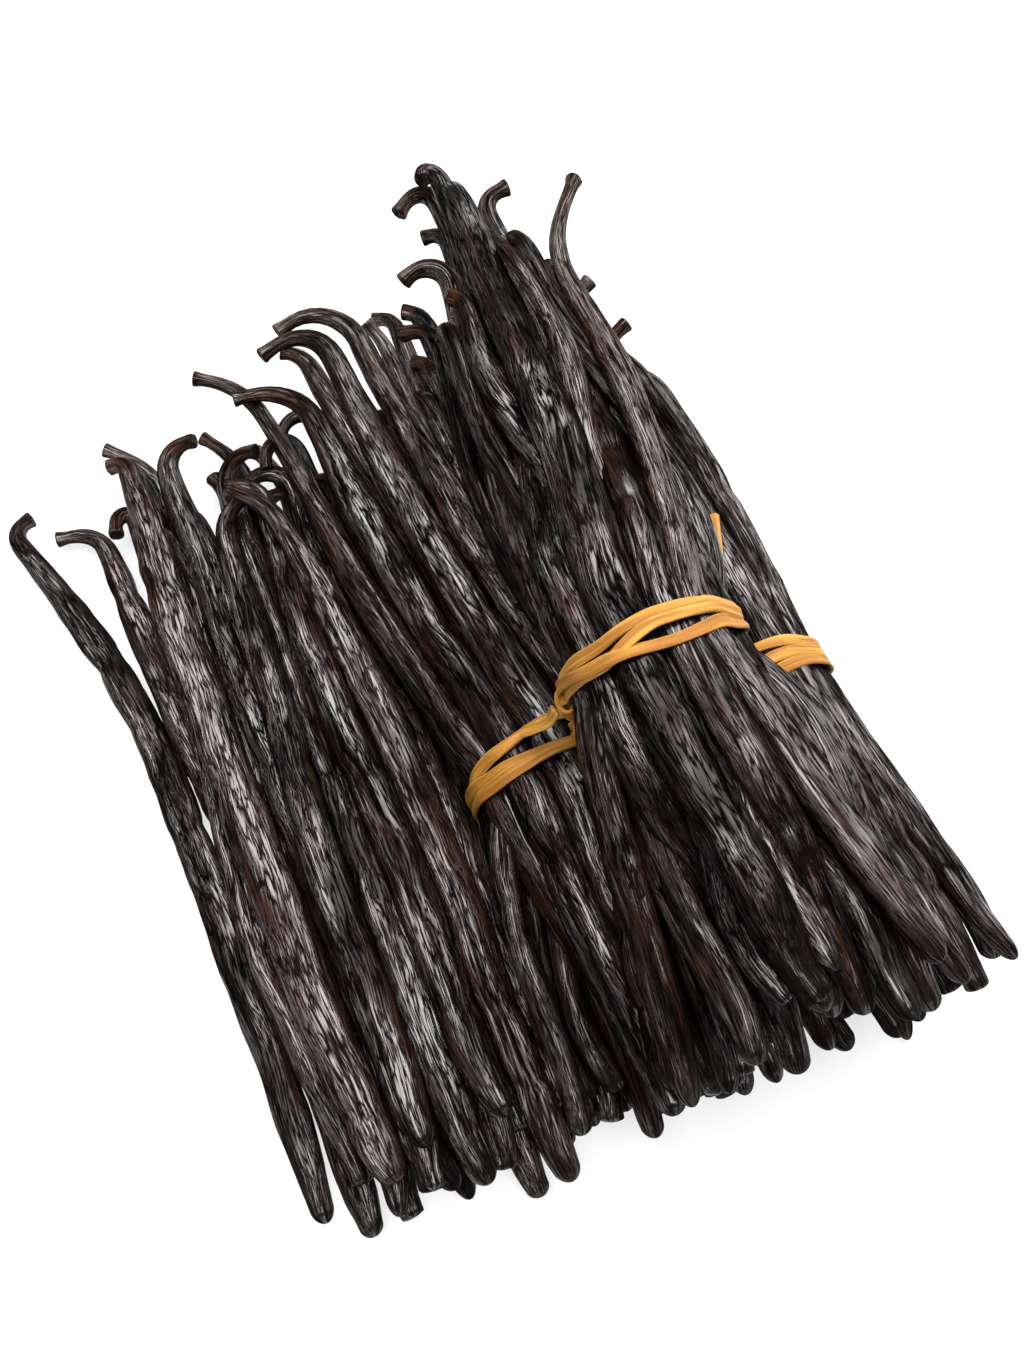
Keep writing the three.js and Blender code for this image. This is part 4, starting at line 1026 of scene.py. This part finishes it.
def pod_finish(settings):
    """Cured pod skin: near black to red-brown, fine branching wrinkles with painted shade in their valleys and
    creases, an oily sheen that comes and goes.
    """
    f = Finish("pod_skin")
    grain, tone, ends = f.layer("grain"), f.layer("tone"), f.layer("ends")
    shade, crease, stem = (f.part(tone, axis) for axis in range(3))
    foot, cut = f.part(ends, 0), f.part(ends, 1)

    bent = f.warped(grain, (5, 5, 14), (1.6, 1.6, 3.0))
    folds = abs(f.noise(f.stretched(bent, (2.2, 2.2, 26)), 2.0) - 0.5)
    lines = abs(f.noise(f.stretched(bent, (0.42, 0.42, 8)), 2.0) - 0.5)
    fine = f.noise(f.stretched(bent, (0.3, 0.3, 4.0)), 3.0, 0.6)
    bands = f.noise(f.stretched(grain, (3.2, 3.2, 2.2)), 2.0)
    height = 0.14 * f.ranged(folds, 0.0, 0.06) + 0.16 * f.ranged(lines, 0.0, 0.1) + 0.2 * fine + 0.12 * bands
    ridges = f.ranged(folds, 0.0, 0.05) * f.ranged(lines, 0.005, 0.11)

    patches = f.noise(f.stretched(grain, (4.0, 4.0, 17)), 3.0, 0.55)
    streaks = f.noise(f.stretched(bent, (0.6, 0.6, 9)), 2.0)
    warm = f.ranged(patches + 0.45 * streaks + 0.28 * shade, 0.72, 1.12)
    skin = f.blend(warm, rgba(settings.dark), rgba(settings.brown))
    thin = f.ranged(f.noise(f.stretched(grain, (3.0, 3.0, 9)), 2.0) + 0.34 * stem, 0.62, 0.95, 0.0, 0.75)
    skin = f.blend(thin, skin, rgba(settings.amber))
    # Painted shade: the skin colour is multiplied darker in the valleys between the wrinkles and in the
    # creases, where shade would fall.
    low = (0.25 + 0.75 * ridges) * (1 - 0.7 * crease)
    skin = f.blend(1.0, skin, f.add("ShaderNodeCombineColor", None, {0: low, 1: low, 2: low}), "MULTIPLY")
    skin = f.blend(0.8 * cut + 0.5 * foot, skin, rgba(settings.dark, 0.8))

    wet = f.noise(f.stretched(grain, (4.5, 4.5, 24)), 3.0, 0.55) + 0.18 * shade
    roughness = f.ranged(wet + 0.25 * fine, 0.5, 0.95, 0.13, 0.27)
    oily = ridges * f.ranged(wet, 0.47, 0.65, 0.13, 1.0) * (1 - 0.8 * crease)
    return f.finish(skin, roughness, height, 0.0003, oily, **{
        "IOR": 1.75, "Specular Tint": (1.0, 0.95, 0.93, 1.0)})


def raffia_finish(settings):
    """Dried palm fibre: golden, with lengthways streaks, painted shade in the folds of its strands and a few
    dark flecks.
    """
    f = Finish("raffia")
    grain, tone = f.layer("grain"), f.layer("tone")
    shade, fold = f.part(tone, 0), f.part(tone, 1)
    fibres = f.noise(f.stretched(grain, (0.14, 0.3, 7)), 3.0, 0.6)
    broad = f.noise(f.stretched(grain, (0.55, 0.8, 14)), 2.0)
    spots = f.noise(f.stretched(grain, (0.32, 0.5, 0.9)), 1.0)
    # The fold term is painted shade: it pulls the colour towards ochre in the lengthways dents of the strands.
    dark = f.ranged(broad + 0.5 * fibres + 0.15 * shade + 0.45 * fold, 0.55, 1.1)
    colour = f.blend(dark, rgba(settings.gold), rgba(settings.ochre))
    colour = f.blend(f.ranged(spots, 0.74, 0.8, 0.0, 0.7), colour, rgba(settings.ochre, 0.25))
    height = 0.7 * fibres + 0.5 * broad
    return f.finish(colour, f.ranged(fibres, 0.3, 0.7, 0.5, 0.7), height, 0.0003, **{"IOR": 1.4})


def floor_finish(settings):
    f = Finish("floor")
    shader = f.add("ShaderNodeBsdfPrincipled", None, {
        "Base Color": rgba(settings.floor), "Roughness": 0.9,
        "Emission Color": (1, 1, 1, 1), "Emission Strength": settings.glow})
    f.add_output(shader)
    return f.material


# ---------------------------------------------------------------- operators

def place(obj, node_name, slot):
    """Sets a finished piece in the frame in place of its plain solid."""
    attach(obj, "root")
    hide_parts(node_name)


class VANILLA_OT_pods(bpy.types.Operator):
    """Build every pod of the three bunches and of the loose fan"""

    bl_idname = "vanilla.pods"
    bl_label = "Pods"

    def execute(self, context):
        settings = context.scene.vanilla_pods
        pods = lay_out()
        material = pod_finish(settings)
        for group, node_name in PIECES.items():
            own = [(i, pod) for i, pod in enumerate(pods) if pod.group == group]
            skin = Skin(columns=math.ceil(len(own) / 2), rows=2)
            for number, pod in own:
                add_pod(skin, pod, number, settings)
            place(skin.build(f"pods_{group}", material), node_name, "pods")
        return {"FINISHED"}


class VANILLA_OT_raffia(bpy.types.Operator):
    """Build the raffia round each bunch, with its knot and loose end"""

    bl_idname = "vanilla.raffia"
    bl_label = "Raffia"

    def execute(self, context):
        settings = context.scene.vanilla_raffia
        pods = lay_out()
        material = raffia_finish(settings)
        for name in BUNCHES:
            skin = Skin(columns=7, rows=1)
            add_tie(skin, name, pods, settings)
            place(skin.build(f"raffia_{name}", material), f"tie_{name}", "raffia")
        return {"FINISHED"}


class VANILLA_OT_stage(bpy.types.Operator):
    """Set up the floor, the soft lights and the camera"""

    bl_idname = "vanilla.stage"
    bl_label = "Stage"

    def execute(self, context):
        settings = context.scene.vanilla_stage
        scene = context.scene
        target = -SHIFT * MM

        mesh = bpy.data.meshes.new("floor")
        corners = [(x * FLOOR_HALF, y * FLOOR_HALF, FLOOR_HEIGHT)
                   for x, y in ((-1, -1), (1, -1), (1, 1), (-1, 1))]
        mesh.from_pydata(corners, [], [(0, 1, 2, 3)])
        mesh.materials.append(floor_finish(settings))
        floor = bpy.data.objects.new("floor", mesh)
        scene.collection.objects.link(floor)

        back = self.direction(settings.azimuth, settings.elevation)
        camera = bpy.data.objects.new("camera", bpy.data.cameras.new("camera"))
        scene.collection.objects.link(camera)
        camera.data.sensor_fit, camera.data.sensor_height = "VERTICAL", SENSOR
        camera.data.lens = FOCAL * SENSOR
        camera.data.clip_start = 0.01
        self.aim(camera, target, back, settings.distance)
        scene.camera = camera

        for name, (size, way) in LIGHTS.items():
            light = bpy.data.lights.new(name, "AREA")
            light.shape, light.size, light.size_y = "RECTANGLE", *size
            light.energy = getattr(settings, name)
            lamp = bpy.data.objects.new(name, light)
            scene.collection.objects.link(lamp)
            self.aim(lamp, target, way, LIGHT_DISTANCE)

        world = bpy.data.worlds.new("studio")
        world.use_nodes = True
        background = world.node_tree.nodes["Background"]
        background.inputs["Color"].default_value = (1, 1, 1, 1)
        background.inputs["Strength"].default_value = settings.fill
        scene.world = world
        scene.view_settings.view_transform = "Standard"
        return {"FINISHED"}

    @staticmethod
    def direction(azimuth, elevation):
        """From the target to the camera."""
        flat = math.cos(elevation)
        return np.array([math.sin(azimuth) * flat, -math.cos(azimuth) * flat, math.sin(elevation)])

    @staticmethod
    def aim(obj, target, way, distance):
        way = Vector(way).normalized()
        obj.location = Vector(target) + way * distance
        obj.rotation_euler = way.to_track_quat("Z", "Y").to_euler()


class VANILLA_PT_heap(bpy.types.Panel):
    """Lists the steps that build the heap, with their settings"""

    bl_label = "Vanilla pod heap"
    bl_space_type = "VIEW_3D"
    bl_region_type = "UI"
    bl_category = "Vanilla"

    def draw(self, context):
        for operator, group in (("vanilla.pods", "vanilla_pods"), ("vanilla.raffia", "vanilla_raffia"),
                                ("vanilla.stage", "vanilla_stage")):
            box = self.layout.box()
            settings = getattr(context.scene, group)
            for key in settings.__annotations__:
                box.prop(settings, key)
            box.operator(operator)


GROUPS = {"vanilla_pods": PodSettings, "vanilla_raffia": RaffiaSettings, "vanilla_stage": StageSettings}
CLASSES = (PodSettings, RaffiaSettings, StageSettings,
           VANILLA_OT_pods, VANILLA_OT_raffia, VANILLA_OT_stage, VANILLA_PT_heap)


def register():
    for cls in CLASSES:
        bpy.utils.register_class(cls)
    for name, group in GROUPS.items():
        setattr(bpy.types.Scene, name, bpy.props.PointerProperty(type=group))


def unregister():
    for name in GROUPS:
        delattr(bpy.types.Scene, name)
    for cls in reversed(CLASSES):
        bpy.utils.unregister_class(cls)


def main():
    register()
    bpy.ops.vanilla.pods()
    bpy.ops.vanilla.raffia()
    bpy.ops.vanilla.stage()


if __name__ == "__main__":
    main()
